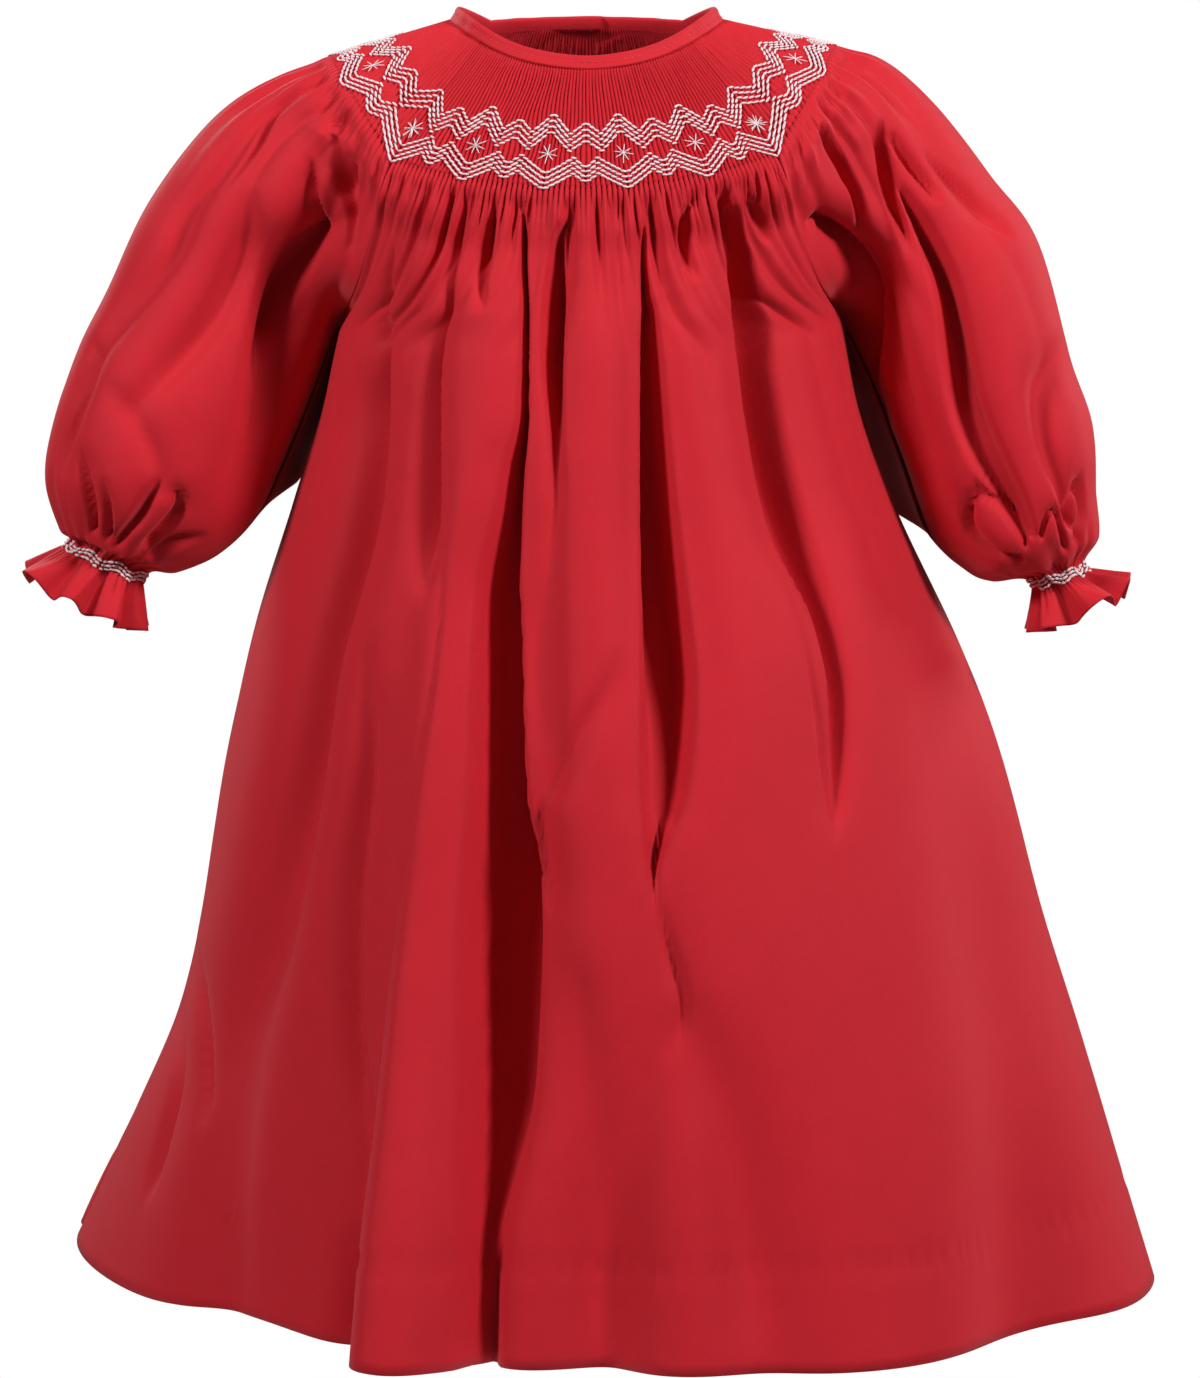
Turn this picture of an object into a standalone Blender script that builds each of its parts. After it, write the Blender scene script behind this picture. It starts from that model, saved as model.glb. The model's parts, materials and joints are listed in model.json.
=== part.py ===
"""A small child's smocked peasant dress with long bishop sleeves, worn and hollow.

Metres, +Z up, the front faces -Y and +X is the viewer's right. The origin is the middle of the neck
opening, level with the top of its binding at the sides, where the wearer holds the dress.

Every panel is a sheet of points worked out from cross-sections: a row of the tables below for each
section, from the neck down. Neighbouring panels share their seam points, and stand SEAM apart there.
"""
import math

import bpy
import numpy as np

WALL = 0.0015           # thickness of the cloth walls
SEAM = 0.0003           # gap between neighbouring pieces
BINDING_HEIGHT = 0.0055
BINDING_LEAN = 0.55     # how far the binding leans in, per unit of rise
PLACKET_WIDTH = 0.015
PLACKET_ROWS = 10       # rows of the back's grid that the button band covers
PLACKET_DROP = 0.25     # how far its top stays below the neck edge, as a part of the first row
PLACKET_CLEAR = 0.0004  # gap to the back's facets
BUTTON_RADIUS = 0.0055
BUTTON_THICKNESS = 0.0022
BUTTON_SIDES = 20
BUTTON_CLEAR = 0.0004
FRILL_FLUTES = 7
FRILL_FLUTE_DEPTH = 0.0035

RED = (0.50, 0.017, 0.030, 1.0)
BUTTON_WHITE = (0.80, 0.72, 0.72, 1.0)

# Rows 0 to 4 (neck, yoke, chest, bust, armpit) are shared by body and sleeves.
ARMPIT_ROW = 4

# One row for each sleeve section: its outermost point, its innermost point or the middle of its two
# body seams, the angle from the outermost point to a seam, half its depth, how much higher the back
# seam is than the middle, and how far forward the section stands.
SLEEVE_COLUMNS = ("station", "out_x", "out_z", "in_x", "in_z", "half_angle", "half_depth", "rise", "fore")
LEFT_SLEEVE = (
    ("neck", -0.0490, -0.0052, -0.0375, -0.0115, 40, 0.0475, 0.0050, 0.000),
    ("yoke", -0.0955, -0.0190, -0.0690, -0.0560, 48, 0.0890, 0.0050, 0.000),
    ("chest", -0.1200, -0.0280, -0.0760, -0.0810, 75, 0.0625, 0.0030, 0.000),
    ("bust", -0.1400, -0.0430, -0.0830, -0.1030, 120, 0.0480, 0.0010, 0.000),
    ("armpit", -0.1626, -0.0725, -0.0920, -0.1180, 180, 0.0420, 0.0000, 0.000),
    ("upper", -0.1777, -0.1040, -0.1040, -0.1480, 180, 0.0430, 0.0000, 0.002),
    ("elbow", -0.1890, -0.1270, -0.1130, -0.1690, 180, 0.0440, 0.0000, 0.004),
    ("forearm", -0.1986, -0.1570, -0.1230, -0.1895, 180, 0.0430, 0.0000, 0.006),
    ("blouse", -0.2006, -0.1760, -0.1370, -0.2030, 180, 0.0370, 0.0000, 0.008),
    ("gather", -0.1960, -0.1930, -0.1520, -0.2097, 180, 0.0250, 0.0000, 0.009),
    ("wrist", -0.1932, -0.1980, -0.1637, -0.2115, 180, 0.0155, 0.0000, 0.010),
    ("frill", -0.2105, -0.2070, -0.1642, -0.2310, 180, 0.0240, 0.0000, 0.010),
)
RIGHT_SLEEVE = (
    ("neck", 0.0490, -0.0052, 0.0375, -0.0115, 40, 0.0475, 0.0050, 0.000),
    ("yoke", 0.0925, -0.0150, 0.0680, -0.0540, 48, 0.0890, 0.0050, 0.000),
    ("chest", 0.1120, -0.0210, 0.0755, -0.0795, 75, 0.0625, 0.0030, 0.000),
    ("bust", 0.1290, -0.0370, 0.0840, -0.1010, 120, 0.0480, 0.0010, 0.000),
    ("armpit", 0.1487, -0.0637, 0.0940, -0.1150, 180, 0.0420, 0.0000, 0.000),
    ("upper", 0.1660, -0.0870, 0.1060, -0.1380, 180, 0.0430, 0.0000, 0.002),
    ("elbow", 0.1804, -0.1300, 0.1170, -0.1660, 180, 0.0440, 0.0000, 0.004),
    ("forearm", 0.1890, -0.1535, 0.1280, -0.1960, 180, 0.0420, 0.0000, 0.006),
    ("blouse", 0.1910, -0.1800, 0.1410, -0.2090, 180, 0.0370, 0.0000, 0.008),
    ("gather", 0.1905, -0.1960, 0.1506, -0.2130, 180, 0.0250, 0.0000, 0.009),
    ("wrist", 0.1853, -0.2070, 0.1648, -0.2135, 180, 0.0150, 0.0000, 0.010),
    ("frill", 0.2020, -0.2120, 0.1652, -0.2315, 180, 0.0230, 0.0000, 0.010),
)

# The middle of the front and of the back in the rows above the armpits, and how far each section
# bends round, in degrees from its middle to its seam.
YOKE_COLUMNS = ("station", "front_y", "front_z", "back_y", "back_z", "bend")
YOKE = (
    ("neck", -0.0475, -0.0256, 0.0445, -0.0060, 50),
    ("yoke", -0.0850, -0.0700, 0.0780, -0.0500, 42),
    ("chest", -0.0920, -0.0930, 0.0830, -0.0780, 55),
    ("bust", -0.0970, -0.1120, 0.0860, -0.1000, 72),
)

# The side seams and the middles of the front and back, from the armpits to the hem.
SKIRT_COLUMNS = ("station", "left_x", "left_y", "left_z", "right_x", "right_y", "right_z",
                 "front_y", "front_z", "back_y", "back_z")
SKIRT = (
    ("armpit", -0.0920, 0.000, -0.118, 0.0940, 0.000, -0.1150, -0.100, -0.128, 0.088, -0.120),
    ("ribs", -0.0990, 0.004, -0.150, 0.1015, 0.000, -0.1500, -0.103, -0.150, 0.090, -0.150),
    ("waist", -0.1110, 0.010, -0.186, 0.1165, 0.000, -0.1880, -0.109, -0.186, 0.092, -0.186),
    ("hip", -0.1260, 0.020, -0.235, 0.1395, 0.000, -0.2357, -0.117, -0.235, 0.099, -0.235),
    ("thigh", -0.1378, 0.030, -0.281, 0.1553, 0.000, -0.2765, -0.124, -0.281, 0.105, -0.281),
    ("knee", -0.1480, 0.045, -0.336, 0.1716, 0.000, -0.3360, -0.131, -0.336, 0.113, -0.336),
    ("calf", -0.1600, 0.055, -0.384, 0.1870, 0.000, -0.3840, -0.137, -0.384, 0.120, -0.384),
    ("low", -0.1800, 0.065, -0.430, 0.2010, 0.000, -0.4300, -0.141, -0.430, 0.127, -0.430),
    ("hem", -0.2016, 0.075, -0.477, 0.2148, 0.000, -0.4770, -0.145, -0.477, 0.135, -0.477),
)

# Folds of the front and back. Each has a name, its x at these rows, how far it stands out (+) or sinks
# in (-) at these rows, and its half width at the top and at the hem.
FOLD_ROWS = (1, 3, 5, 6, 7, 8, 9, 11, 12)
FRONT_FOLDS = (
    ("left side valley", (-0.066, -0.0715, -0.077, -0.084, -0.0935, -0.101, -0.108, -0.113, -0.116),
     (0, -0.004, -0.006, -0.007, -0.006, -0.004, -0.001, 0, 0), 0.006, 0.012),
    ("left valley", (-0.0465, -0.0495, -0.0526, -0.0548, -0.057, -0.060, -0.062, -0.062, -0.062),
     (-0.002, -0.006, -0.006, -0.003, 0, 0, 0, 0, 0), 0.005, 0.010),
    ("great valley", (-0.0224, -0.0224, -0.025, -0.030, -0.030, -0.0315, -0.031, -0.036, -0.037),
     (-0.002, -0.006, -0.009, -0.012, -0.018, -0.024, -0.026, -0.022, -0.018), 0.005, 0.012),
    ("middle valley", (-0.0075, -0.0117, -0.010, -0.010, -0.010, -0.010, -0.010, -0.010, -0.010),
     (-0.002, -0.005, -0.004, -0.001, 0, 0, 0, 0, 0), 0.004, 0.008),
    ("right middle valley", (0.018, 0.0225, 0.0255, 0.0272, 0.0295, 0.031, 0.0335, 0.036, 0.036),
     (-0.002, -0.006, -0.007, -0.008, -0.009, -0.008, -0.005, 0, 0), 0.005, 0.012),
    ("right side valley", (0.050, 0.062, 0.068, 0.076, 0.089, 0.088, 0.088, 0.088, 0.088),
     (-0.002, -0.006, -0.008, -0.008, -0.007, -0.003, 0, 0, 0), 0.006, 0.012),
    ("great ridge", (-0.040, -0.040, -0.041, -0.042, -0.048, -0.054, -0.058, -0.063, -0.064),
     (0, 0, 0.002, 0.004, 0.006, 0.012, 0.018, 0.028, 0.034), 0.010, 0.020),
    ("left low trough", (-0.085, -0.085, -0.085, -0.088, -0.095, -0.102, -0.1125, -0.120, -0.120),
     (0, 0, 0, 0, 0, -0.003, -0.006, -0.010, -0.012), 0.010, 0.016),
    ("hem middle dip", (0.005, 0.005, 0.010, 0.015, 0.020, 0.024, 0.024, 0.010, 0.005),
     (0, 0, 0, 0, 0, 0, -0.004, -0.012, -0.015), 0.010, 0.014),
    ("right flat", (0.090, 0.095, 0.105, 0.115, 0.125, 0.138, 0.150, 0.165, 0.168),
     (0, 0, 0, 0, 0, -0.004, -0.010, -0.018, -0.022), 0.020, 0.040),
)
BACK_FOLDS = (
    ("back left valley", (-0.030, -0.036, -0.042, -0.048, -0.056, -0.064, -0.072, -0.085, -0.090),
     (-0.002, -0.005, -0.008, -0.010, -0.012, -0.013, -0.014, -0.015, -0.015), 0.006, 0.016),
    ("back left side valley", (-0.052, -0.062, -0.070, -0.080, -0.092, -0.104, -0.116, -0.136, -0.145),
     (-0.001, -0.004, -0.006, -0.007, -0.008, -0.008, -0.008, -0.008, -0.008), 0.006, 0.014),
    ("back middle ridge", (-0.010, -0.010, -0.012, -0.014, -0.016, -0.018, -0.020, -0.024, -0.026),
     (0, 0.001, 0.002, 0.004, 0.005, 0.006, 0.007, 0.008, 0.008), 0.010, 0.020),
    ("back right valley", (0.024, 0.028, 0.032, 0.036, 0.040, 0.046, 0.052, 0.062, 0.066),
     (-0.002, -0.005, -0.008, -0.010, -0.011, -0.012, -0.013, -0.014, -0.014), 0.006, 0.016),
    ("back right side valley", (0.048, 0.058, 0.068, 0.080, 0.094, 0.108, 0.122, 0.142, 0.150),
     (-0.001, -0.004, -0.006, -0.008, -0.009, -0.010, -0.010, -0.010, -0.010), 0.006, 0.015),
)

# Folds of the sleeves. Each has a name, its angle round the sleeve at these rows (-90 is the front, 0
# the outer edge, 90 the back), its height at these rows, and one half width.
SLEEVE_FOLD_ROWS = (1, 3, 4, 5, 6, 7, 8, 10)
LEFT_SLEEVE_FOLDS = (
    ("front trough", (-25, -64, -68, -71, -73, -75, -75, -75),
     (-0.001, -0.005, -0.006, -0.005, -0.004, -0.002, 0, 0), 0.009),
    ("inner trough", (-36, -95, -120, -135, -144, -144, -144, -144),
     (-0.001, -0.007, -0.009, -0.007, -0.004, -0.001, 0, 0), 0.010),
    ("outer crease", (-5, -12, -15, -18, -20, -17, -15, -15),
     (0, -0.001, -0.001, -0.002, -0.003, -0.004, -0.004, 0), 0.006),
    ("wrist fold", (-60, -60, -60, -60, -60, -52, -50, -50),
     (0, 0, 0, 0, 0, -0.003, -0.005, -0.001), 0.007),
    ("back trough", (26, 66, 75, 84, 90, 92, 95, 95),
     (-0.001, -0.005, -0.006, -0.005, -0.004, -0.004, -0.004, 0), 0.010),
)
RIGHT_SLEEVE_FOLDS = (
    ("front trough", (-30, -48, -75, -87, -105, -111, -111, -111),
     (-0.001, -0.005, -0.007, -0.007, -0.006, -0.004, -0.003, 0), 0.009),
    ("inner trough", (-42, -100, -125, -140, -144, -144, -144, -144),
     (-0.001, -0.007, -0.008, -0.005, -0.003, -0.001, 0, 0), 0.009),
    ("outer trough", (-10, -25, -35, -42, -47, -49, -51, -51),
     (0, -0.001, -0.002, -0.004, -0.005, -0.005, -0.004, 0), 0.008),
    ("wrist fold", (-80, -80, -80, -80, -80, -78, -78, -78),
     (0, 0, 0, 0, 0, -0.003, -0.005, -0.001), 0.007),
    ("back trough", (30, 60, 78, 84, 92, 96, 98, 98),
     (-0.001, -0.005, -0.006, -0.006, -0.005, -0.004, -0.004, 0), 0.010),
)

# Rows of each panel's grid, and how many points each row has; the back's are for one half.
SHARED_ROWS = (0.0, 0.5, 1.0, 1.5, 2.0, 2.5, 3.0, 3.5, 4.0)
SKIRT_ROWS = SHARED_ROWS + (5.0, 6.0, 7.0, 8.0, 9.0, 10.0, 11.0, 12.0)
SLEEVE_ROWS = SHARED_ROWS + (5.0, 6.0, 7.0, 8.0, 9.0, 10.0, 11.0)
FRONT_POINTS_ACROSS = 37
BACK_POINTS_ACROSS = 17
SLEEVE_POINTS_ROUND = 29


def table_values(table, columns, names):
    """The named columns of a table, as an array with a row for each station."""
    places = [columns.index(name) for name in names]
    return np.array([[row[place] for place in places] for row in table], dtype=float)


def smooth(at, knots, values):
    """A smooth curve through values at knots, read at each place in at."""
    knots = np.asarray(knots, dtype=float)
    values = np.asarray(values, dtype=float)
    at = np.atleast_1d(np.asarray(at, dtype=float))
    slopes = np.gradient(values, knots, axis=0)
    span = np.clip(np.searchsorted(knots, at, side="right") - 1, 0, len(knots) - 2)
    length = knots[span + 1] - knots[span]
    along = (np.clip(at, knots[0], knots[-1]) - knots[span]) / length
    if values.ndim > 1:
        length = length[:, None]
        along = along[:, None]
    start, end = values[span], values[span + 1]
    return (start * (1 + 2 * along) * (1 - along) ** 2 + end * along ** 2 * (3 - 2 * along)
            + slopes[span] * length * along * (1 - along) ** 2
            - slopes[span + 1] * length * along ** 2 * (1 - along))


def unit(vectors):
    """Vectors scaled to length one."""
    return vectors / np.maximum(np.linalg.norm(vectors, axis=-1, keepdims=True), 1e-12)


def grid_normals(points, outward):
    """The normals of a grid of points, on the side that outward says for the whole grid."""
    down = np.gradient(points, axis=0)
    across = np.gradient(points, axis=1)
    normals = unit(np.cross(down, across))
    facing = np.sum(normals * outward, axis=-1).mean()
    return normals if facing > 0 else -normals


def sleeve_form(table, rows, count):
    """A sleeve's points without folds: a row of points round each section, front seam to back seam."""
    knots = np.arange(len(table))
    names = ("out_x", "out_z", "in_x", "in_z", "half_angle", "half_depth", "rise", "fore")
    values = smooth(rows, knots, table_values(table, SLEEVE_COLUMNS, names))
    out_x, out_z, in_x, in_z, half_angle, half_depth, rise, fore = values.T
    half_angle = np.radians(np.minimum(half_angle, 180.0))
    reach = 1 - np.cos(half_angle)
    arm_x = (out_x - in_x) / reach
    arm_z = (out_z - in_z) / reach
    theta = np.linspace(-1.0, 1.0, count)[None, :] * half_angle[:, None]
    points = np.empty((len(values), count, 3))
    points[..., 0] = (out_x - arm_x)[:, None] + arm_x[:, None] * np.cos(theta)
    points[..., 1] = half_depth[:, None] * np.sin(theta) - fore[:, None]
    points[..., 2] = ((out_z - arm_z)[:, None] + arm_z[:, None] * np.cos(theta)
                      + rise[:, None] * np.sin(theta))
    return points, theta


def body_sections(rows, side):
    """Left seam, right seam, middle and bend of the body's front (side -1) or back (side 1)."""
    rows = np.asarray(rows, dtype=float)
    middle_names = ("front_y", "front_z") if side < 0 else ("back_y", "back_z")
    middle = np.vstack((table_values(YOKE, YOKE_COLUMNS, middle_names),
                        table_values(SKIRT, SKIRT_COLUMNS, middle_names)))
    bend = np.append(table_values(YOKE, YOKE_COLUMNS, ("bend",))[:, 0], np.full(len(SKIRT), 90.0))
    knots = np.arange(len(bend))
    middle = smooth(rows, knots, middle)
    middle = np.column_stack((np.zeros(len(rows)), middle))
    bend = np.radians(np.minimum(smooth(rows, knots, bend), 90.0))
    seams = []
    for table, names in ((LEFT_SLEEVE, ("left_x", "left_y", "left_z")),
                         (RIGHT_SLEEVE, ("right_x", "right_y", "right_z"))):
        armhole, _ = sleeve_form(table, np.minimum(rows, ARMPIT_ROW), 3)
        skirt = smooth(rows, knots[ARMPIT_ROW:], table_values(SKIRT, SKIRT_COLUMNS, names))
        above = (rows < ARMPIT_ROW)[:, None]
        seams.append(np.where(above, armhole[:, 0 if side < 0 else -1], skirt))
    return seams[0], seams[1], middle, bend


def body_form(rows, across, side):
    """The body's points without folds; across runs from -1 at the left seam to 1 at the right."""
    left, right, middle, bend = body_sections(rows, side)
    between = (left + right) / 2
    turn = bend[:, None] * across[None, :]
    sideways = (np.sin(turn) / np.sin(bend)[:, None])[..., None]
    forward = ((np.cos(turn) - np.cos(bend)[:, None]) / (1 - np.cos(bend))[:, None])[..., None]
    return (between[:, None] + (right - left)[:, None] / 2 * sideways
            + (middle - between)[:, None] * forward)


def distance_across(points):
    """The distance along each row of points, from its first point."""
    steps = np.linalg.norm(np.diff(points, axis=1), axis=-1)
    return np.concatenate((np.zeros((len(points), 1)), np.cumsum(steps, axis=1)), axis=1)


def body_fold_heights(points, rows, folds, seam_rows):
    """How far the folds move each of a body panel's points out."""
    run = distance_across(points)
    heights = np.zeros(run.shape)
    for _, fold_x, fold_height, top_width, hem_width in folds:
        middle_x = smooth(rows, FOLD_ROWS, fold_x)
        height = np.where(rows < FOLD_ROWS[0], 0.0, smooth(rows, FOLD_ROWS, fold_height))
        width = np.interp(rows, (FOLD_ROWS[0], FOLD_ROWS[-1]), (top_width, hem_width))
        for index in range(len(rows)):
            middle = np.interp(middle_x[index], points[index, :, 0], run[index])
            heights[index] += height[index] * np.exp(-((run[index] - middle) / width[index]) ** 2)
    return heights * seam_rows


def sleeve_fold_heights(points, theta, rows, folds):
    """How far the folds and the frill's flutes move each of a sleeve's points out."""
    run = distance_across(points)
    heights = np.zeros(run.shape)
    for _, fold_angle, fold_height, width in folds:
        angle = np.radians(smooth(rows, SLEEVE_FOLD_ROWS, fold_angle))
        height = np.where(rows < SLEEVE_FOLD_ROWS[0], 0.0, smooth(rows, SLEEVE_FOLD_ROWS, fold_height))
        for index in range(len(rows)):
            middle = np.interp(angle[index], theta[index], run[index])
            heights[index] += height[index] * np.exp(-((run[index] - middle) / width) ** 2)
    end = len(LEFT_SLEEVE) - 1
    flute = np.clip(np.asarray(rows) - (end - 1), 0, 1)[:, None] * FRILL_FLUTE_DEPTH
    heights += flute * np.cos(FRILL_FLUTES * theta)
    return heights * edge_fade(theta.shape[1])


def edge_fade(count):
    """A factor across a panel that is 0 at its two seams and 1 away from them."""
    across = np.linspace(-1.0, 1.0, count)
    return (1 - np.abs(across) ** 8)[None, :]


def folded(points, heights, outward):
    """Points moved out by heights along the panel's normals."""
    return points + grid_normals(points, outward) * heights[..., None]


def wall(name, points, normals, material):
    """A closed cloth wall: points are its outer face, and WALL is its thickness."""
    row_count, column_count = points.shape[:2]
    outer = points.reshape(-1, 3)
    inner = (points - normals * WALL).reshape(-1, 3)
    size = len(outer)
    index = np.arange(size).reshape(row_count, column_count)
    faces = []
    for row in range(row_count - 1):
        for column in range(column_count - 1):
            a, b = index[row, column], index[row, column + 1]
            c, d = index[row + 1, column + 1], index[row + 1, column]
            faces.append((a, b, c, d))
            faces.append((a + size, d + size, c + size, b + size))
    for row, step in ((0, 1), (-1, -1)):
        for a, b in zip(index[row, ::step], index[row, ::step][1:]):
            faces.append((b, a, a + size, b + size))
    # Both sides of a seam are split along the same diagonal, so that their rims stay SEAM apart.
    for a, b in zip(index[:-1, -1], index[1:, -1]):
        faces += [(b, a, b + size), (a, a + size, b + size)]
    for a, b in zip(index[:-1, 0], index[1:, 0]):
        faces += [(a, b, b + size), (a, b + size, a + size)]
    return solid(name, np.vstack((outer, inner)), faces, material)


def solid(name, vertices, faces, material):
    """A named object from points and faces, turned inside in or out as a closed body needs."""
    mesh = bpy.data.meshes.new(name)
    mesh.from_pydata([tuple(map(float, vertex)) for vertex in vertices], [],
                     [tuple(map(int, face)) for face in faces])
    triangles = []
    for face in mesh.polygons:
        corners = list(face.vertices)
        triangles += [(corners[0], corners[i], corners[i + 1]) for i in range(1, len(corners) - 1)]
    corner = np.asarray(vertices, dtype=float)[np.array(triangles)]
    if np.einsum("ij,ij->i", corner[:, 0], np.cross(corner[:, 1], corner[:, 2])).sum() < 0:
        mesh.flip_normals()
    mesh.materials.append(material)
    mesh.shade_smooth()
    mesh.set_sharp_from_angle(angle=math.radians(50))
    thing = bpy.data.objects.new(name, mesh)
    bpy.context.scene.collection.objects.link(thing)
    return thing


def cloth_material(name, colour, roughness):
    """A plain material of one colour."""
    material = bpy.data.materials.new(name)
    material.use_nodes = True
    shader = material.node_tree.nodes["Principled BSDF"]
    shader.inputs["Base Color"].default_value = colour
    shader.inputs["Roughness"].default_value = roughness
    shader.inputs["Metallic"].default_value = 0.0
    material.diffuse_color = colour
    return material


def make_panels():
    """The points and normals of the five panels, with their seams closed up to SEAM."""
    skirt_rows = np.array(SKIRT_ROWS)
    sleeve_rows = np.array(SLEEVE_ROWS)
    armpit = SHARED_ROWS.index(float(ARMPIT_ROW))

    across = np.linspace(-1.0, 1.0, FRONT_POINTS_ACROSS)
    front_form = body_form(skirt_rows, across, -1)
    front = folded(front_form, body_fold_heights(front_form, skirt_rows, FRONT_FOLDS,
                                                 edge_fade(FRONT_POINTS_ACROSS)), np.array((0, -1, 0)))
    across = np.linspace(-1.0, 1.0, 2 * BACK_POINTS_ACROSS - 1)
    back_form = body_form(skirt_rows, across, 1)
    back = folded(back_form, body_fold_heights(back_form, skirt_rows, BACK_FOLDS,
                                               edge_fade(len(across))), np.array((0, 1, 0)))
    sleeves = {}
    for side, table, folds in ((-1, LEFT_SLEEVE, LEFT_SLEEVE_FOLDS), (1, RIGHT_SLEEVE, RIGHT_SLEEVE_FOLDS)):
        form, theta = sleeve_form(table, sleeve_rows, SLEEVE_POINTS_ROUND)
        heights = sleeve_fold_heights(form, theta, sleeve_rows, folds)
        # Above the armpit the section opens towards the body, so only the outer edge is a safe guide.
        outward = np.zeros(form.shape)
        outward[:, SLEEVE_POINTS_ROUND // 2] = (side, 0, 0)
        sleeves[side] = folded(form, heights, outward)

    normals = {
        "front": grid_normals(front, np.array((0, -1, 0))),
        "back": grid_normals(back, np.array((0, 1, 0))),
    }
    for side in (-1, 1):
        outward = np.zeros(sleeves[side].shape)
        outward[:, SLEEVE_POINTS_ROUND // 2] = (side, 0, 0)
        normals[side] = grid_normals(sleeves[side], outward)

    half = SEAM / 2
    for side, body_column in ((-1, 0), (1, -1)):
        sleeve = sleeves[side]
        for body, body_normals, sleeve_column, face in (
                (front, normals["front"], 0, -1), (back, normals["back"], -1, 1)):
            rows = slice(0, armpit + 1)
            shared = unit(body_normals[rows, body_column] + normals[side][rows, sleeve_column])
            shared[armpit] = (0, 0, -1)
            along = unit(np.gradient(sleeve[rows, sleeve_column], axis=0))
            toward_sleeve = unit(np.cross(along, shared))
            toward_sleeve *= np.sign(toward_sleeve[:, 0:1] * side)
            toward_sleeve[armpit] = (side, 0, 0)
            body[rows, body_column] -= toward_sleeve * half
            sleeve[rows, sleeve_column] += toward_sleeve * half
            body_normals[rows, body_column] = shared
            normals[side][rows, sleeve_column] = shared
        # Side seam of the skirt.
        rows = slice(armpit, None)
        shared = unit(normals["front"][rows, body_column] + normals["back"][rows, body_column])
        shared[0] = (0, 0, -1)
        front[rows, body_column] += np.array((0, -half, 0))
        back[rows, body_column] += np.array((0, half, 0))
        normals["front"][rows, body_column] = shared
        normals["back"][rows, body_column] = shared
        # Underarm seam of the sleeve.
        shared = unit(normals[side][rows, 0] + normals[side][rows, -1])
        shared[0] = (0, 0, -1)
        sleeve[rows, 0] += np.array((0, -half, 0))
        sleeve[rows, -1] += np.array((0, half, 0))
        normals[side][rows, 0] = shared
        normals[side][rows, -1] = shared
    return front, back, sleeves, normals


def neck_ring(front, back, sleeves, normals):
    """The neck edge's points and normals, from the back opening round by the right and back to it."""
    middle = BACK_POINTS_ACROSS - 1
    loops = (
        (back[0, middle:-1], normals["back"][0, middle:-1]),
        (sleeves[1][0, :0:-1], normals[1][0, :0:-1]),
        (front[0, :0:-1], normals["front"][0, :0:-1]),
        (sleeves[-1][0, :-1], normals[-1][0, :-1]),
        (back[0, :middle + 1], normals["back"][0, :middle + 1]),
    )
    points = np.vstack([loop[0] for loop in loops])
    turned = np.vstack([loop[1] for loop in loops])
    points[0, 0] += SEAM
    points[-1, 0] -= SEAM
    chosen = np.unique(np.append(np.arange(0, len(points), 2), len(points) - 1))
    return points[chosen], turned[chosen]


def make_binding(front, back, sleeves, normals, material):
    """The folded strip that holds the neck edge."""
    points, outward = neck_ring(front, back, sleeves, normals)
    flat_out = unit(points * np.array((1, 1, 0)))
    rise = unit(np.array((0, 0, 1.0)) - flat_out * BINDING_LEAN)
    face = unit(flat_out + np.array((0, 0, BINDING_LEAN)))
    foot = points - outward * WALL / 2 + rise * SEAM * 2
    thick = WALL * 0.8
    ring = (foot + face * thick, foot + rise * BINDING_HEIGHT + face * thick,
            foot + rise * BINDING_HEIGHT - face * thick, foot - face * thick)
    count = len(points)
    vertices = np.vstack(ring)
    faces = []
    for step in range(count - 1):
        for side in range(4):
            a = side * count + step
            b = (side + 1) % 4 * count + step
            faces.append((a, a + 1, b + 1, b))
    faces.append(tuple(side * count for side in range(4)))
    faces.append(tuple(side * count + count - 1 for side in (3, 2, 1, 0)))
    return solid("neck_binding", vertices, faces, material)


def make_placket(back, back_normals, material):
    """The button band of the back opening: the right back's own points beside the middle, moved out."""
    rows = PLACKET_ROWS
    edge = BACK_POINTS_ACROSS - 1
    columns = np.linspace(0.0, PLACKET_WIDTH, 4)
    run = distance_across(back[:rows, edge:])
    points = np.empty((rows, len(columns), 3))
    normals = np.empty(points.shape)
    for index in range(rows):
        for axis in range(3):
            points[index, :, axis] = np.interp(columns, run[index], back[index, edge:, axis])
            normals[index, :, axis] = np.interp(columns, run[index], back_normals[index, edge:, axis])
    normals = unit(normals)
    points[0] += (points[1] - points[0]) * PLACKET_DROP
    points = points + normals * (WALL + PLACKET_CLEAR)
    wall("back_placket", points, normals, material)
    return points, normals


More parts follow.
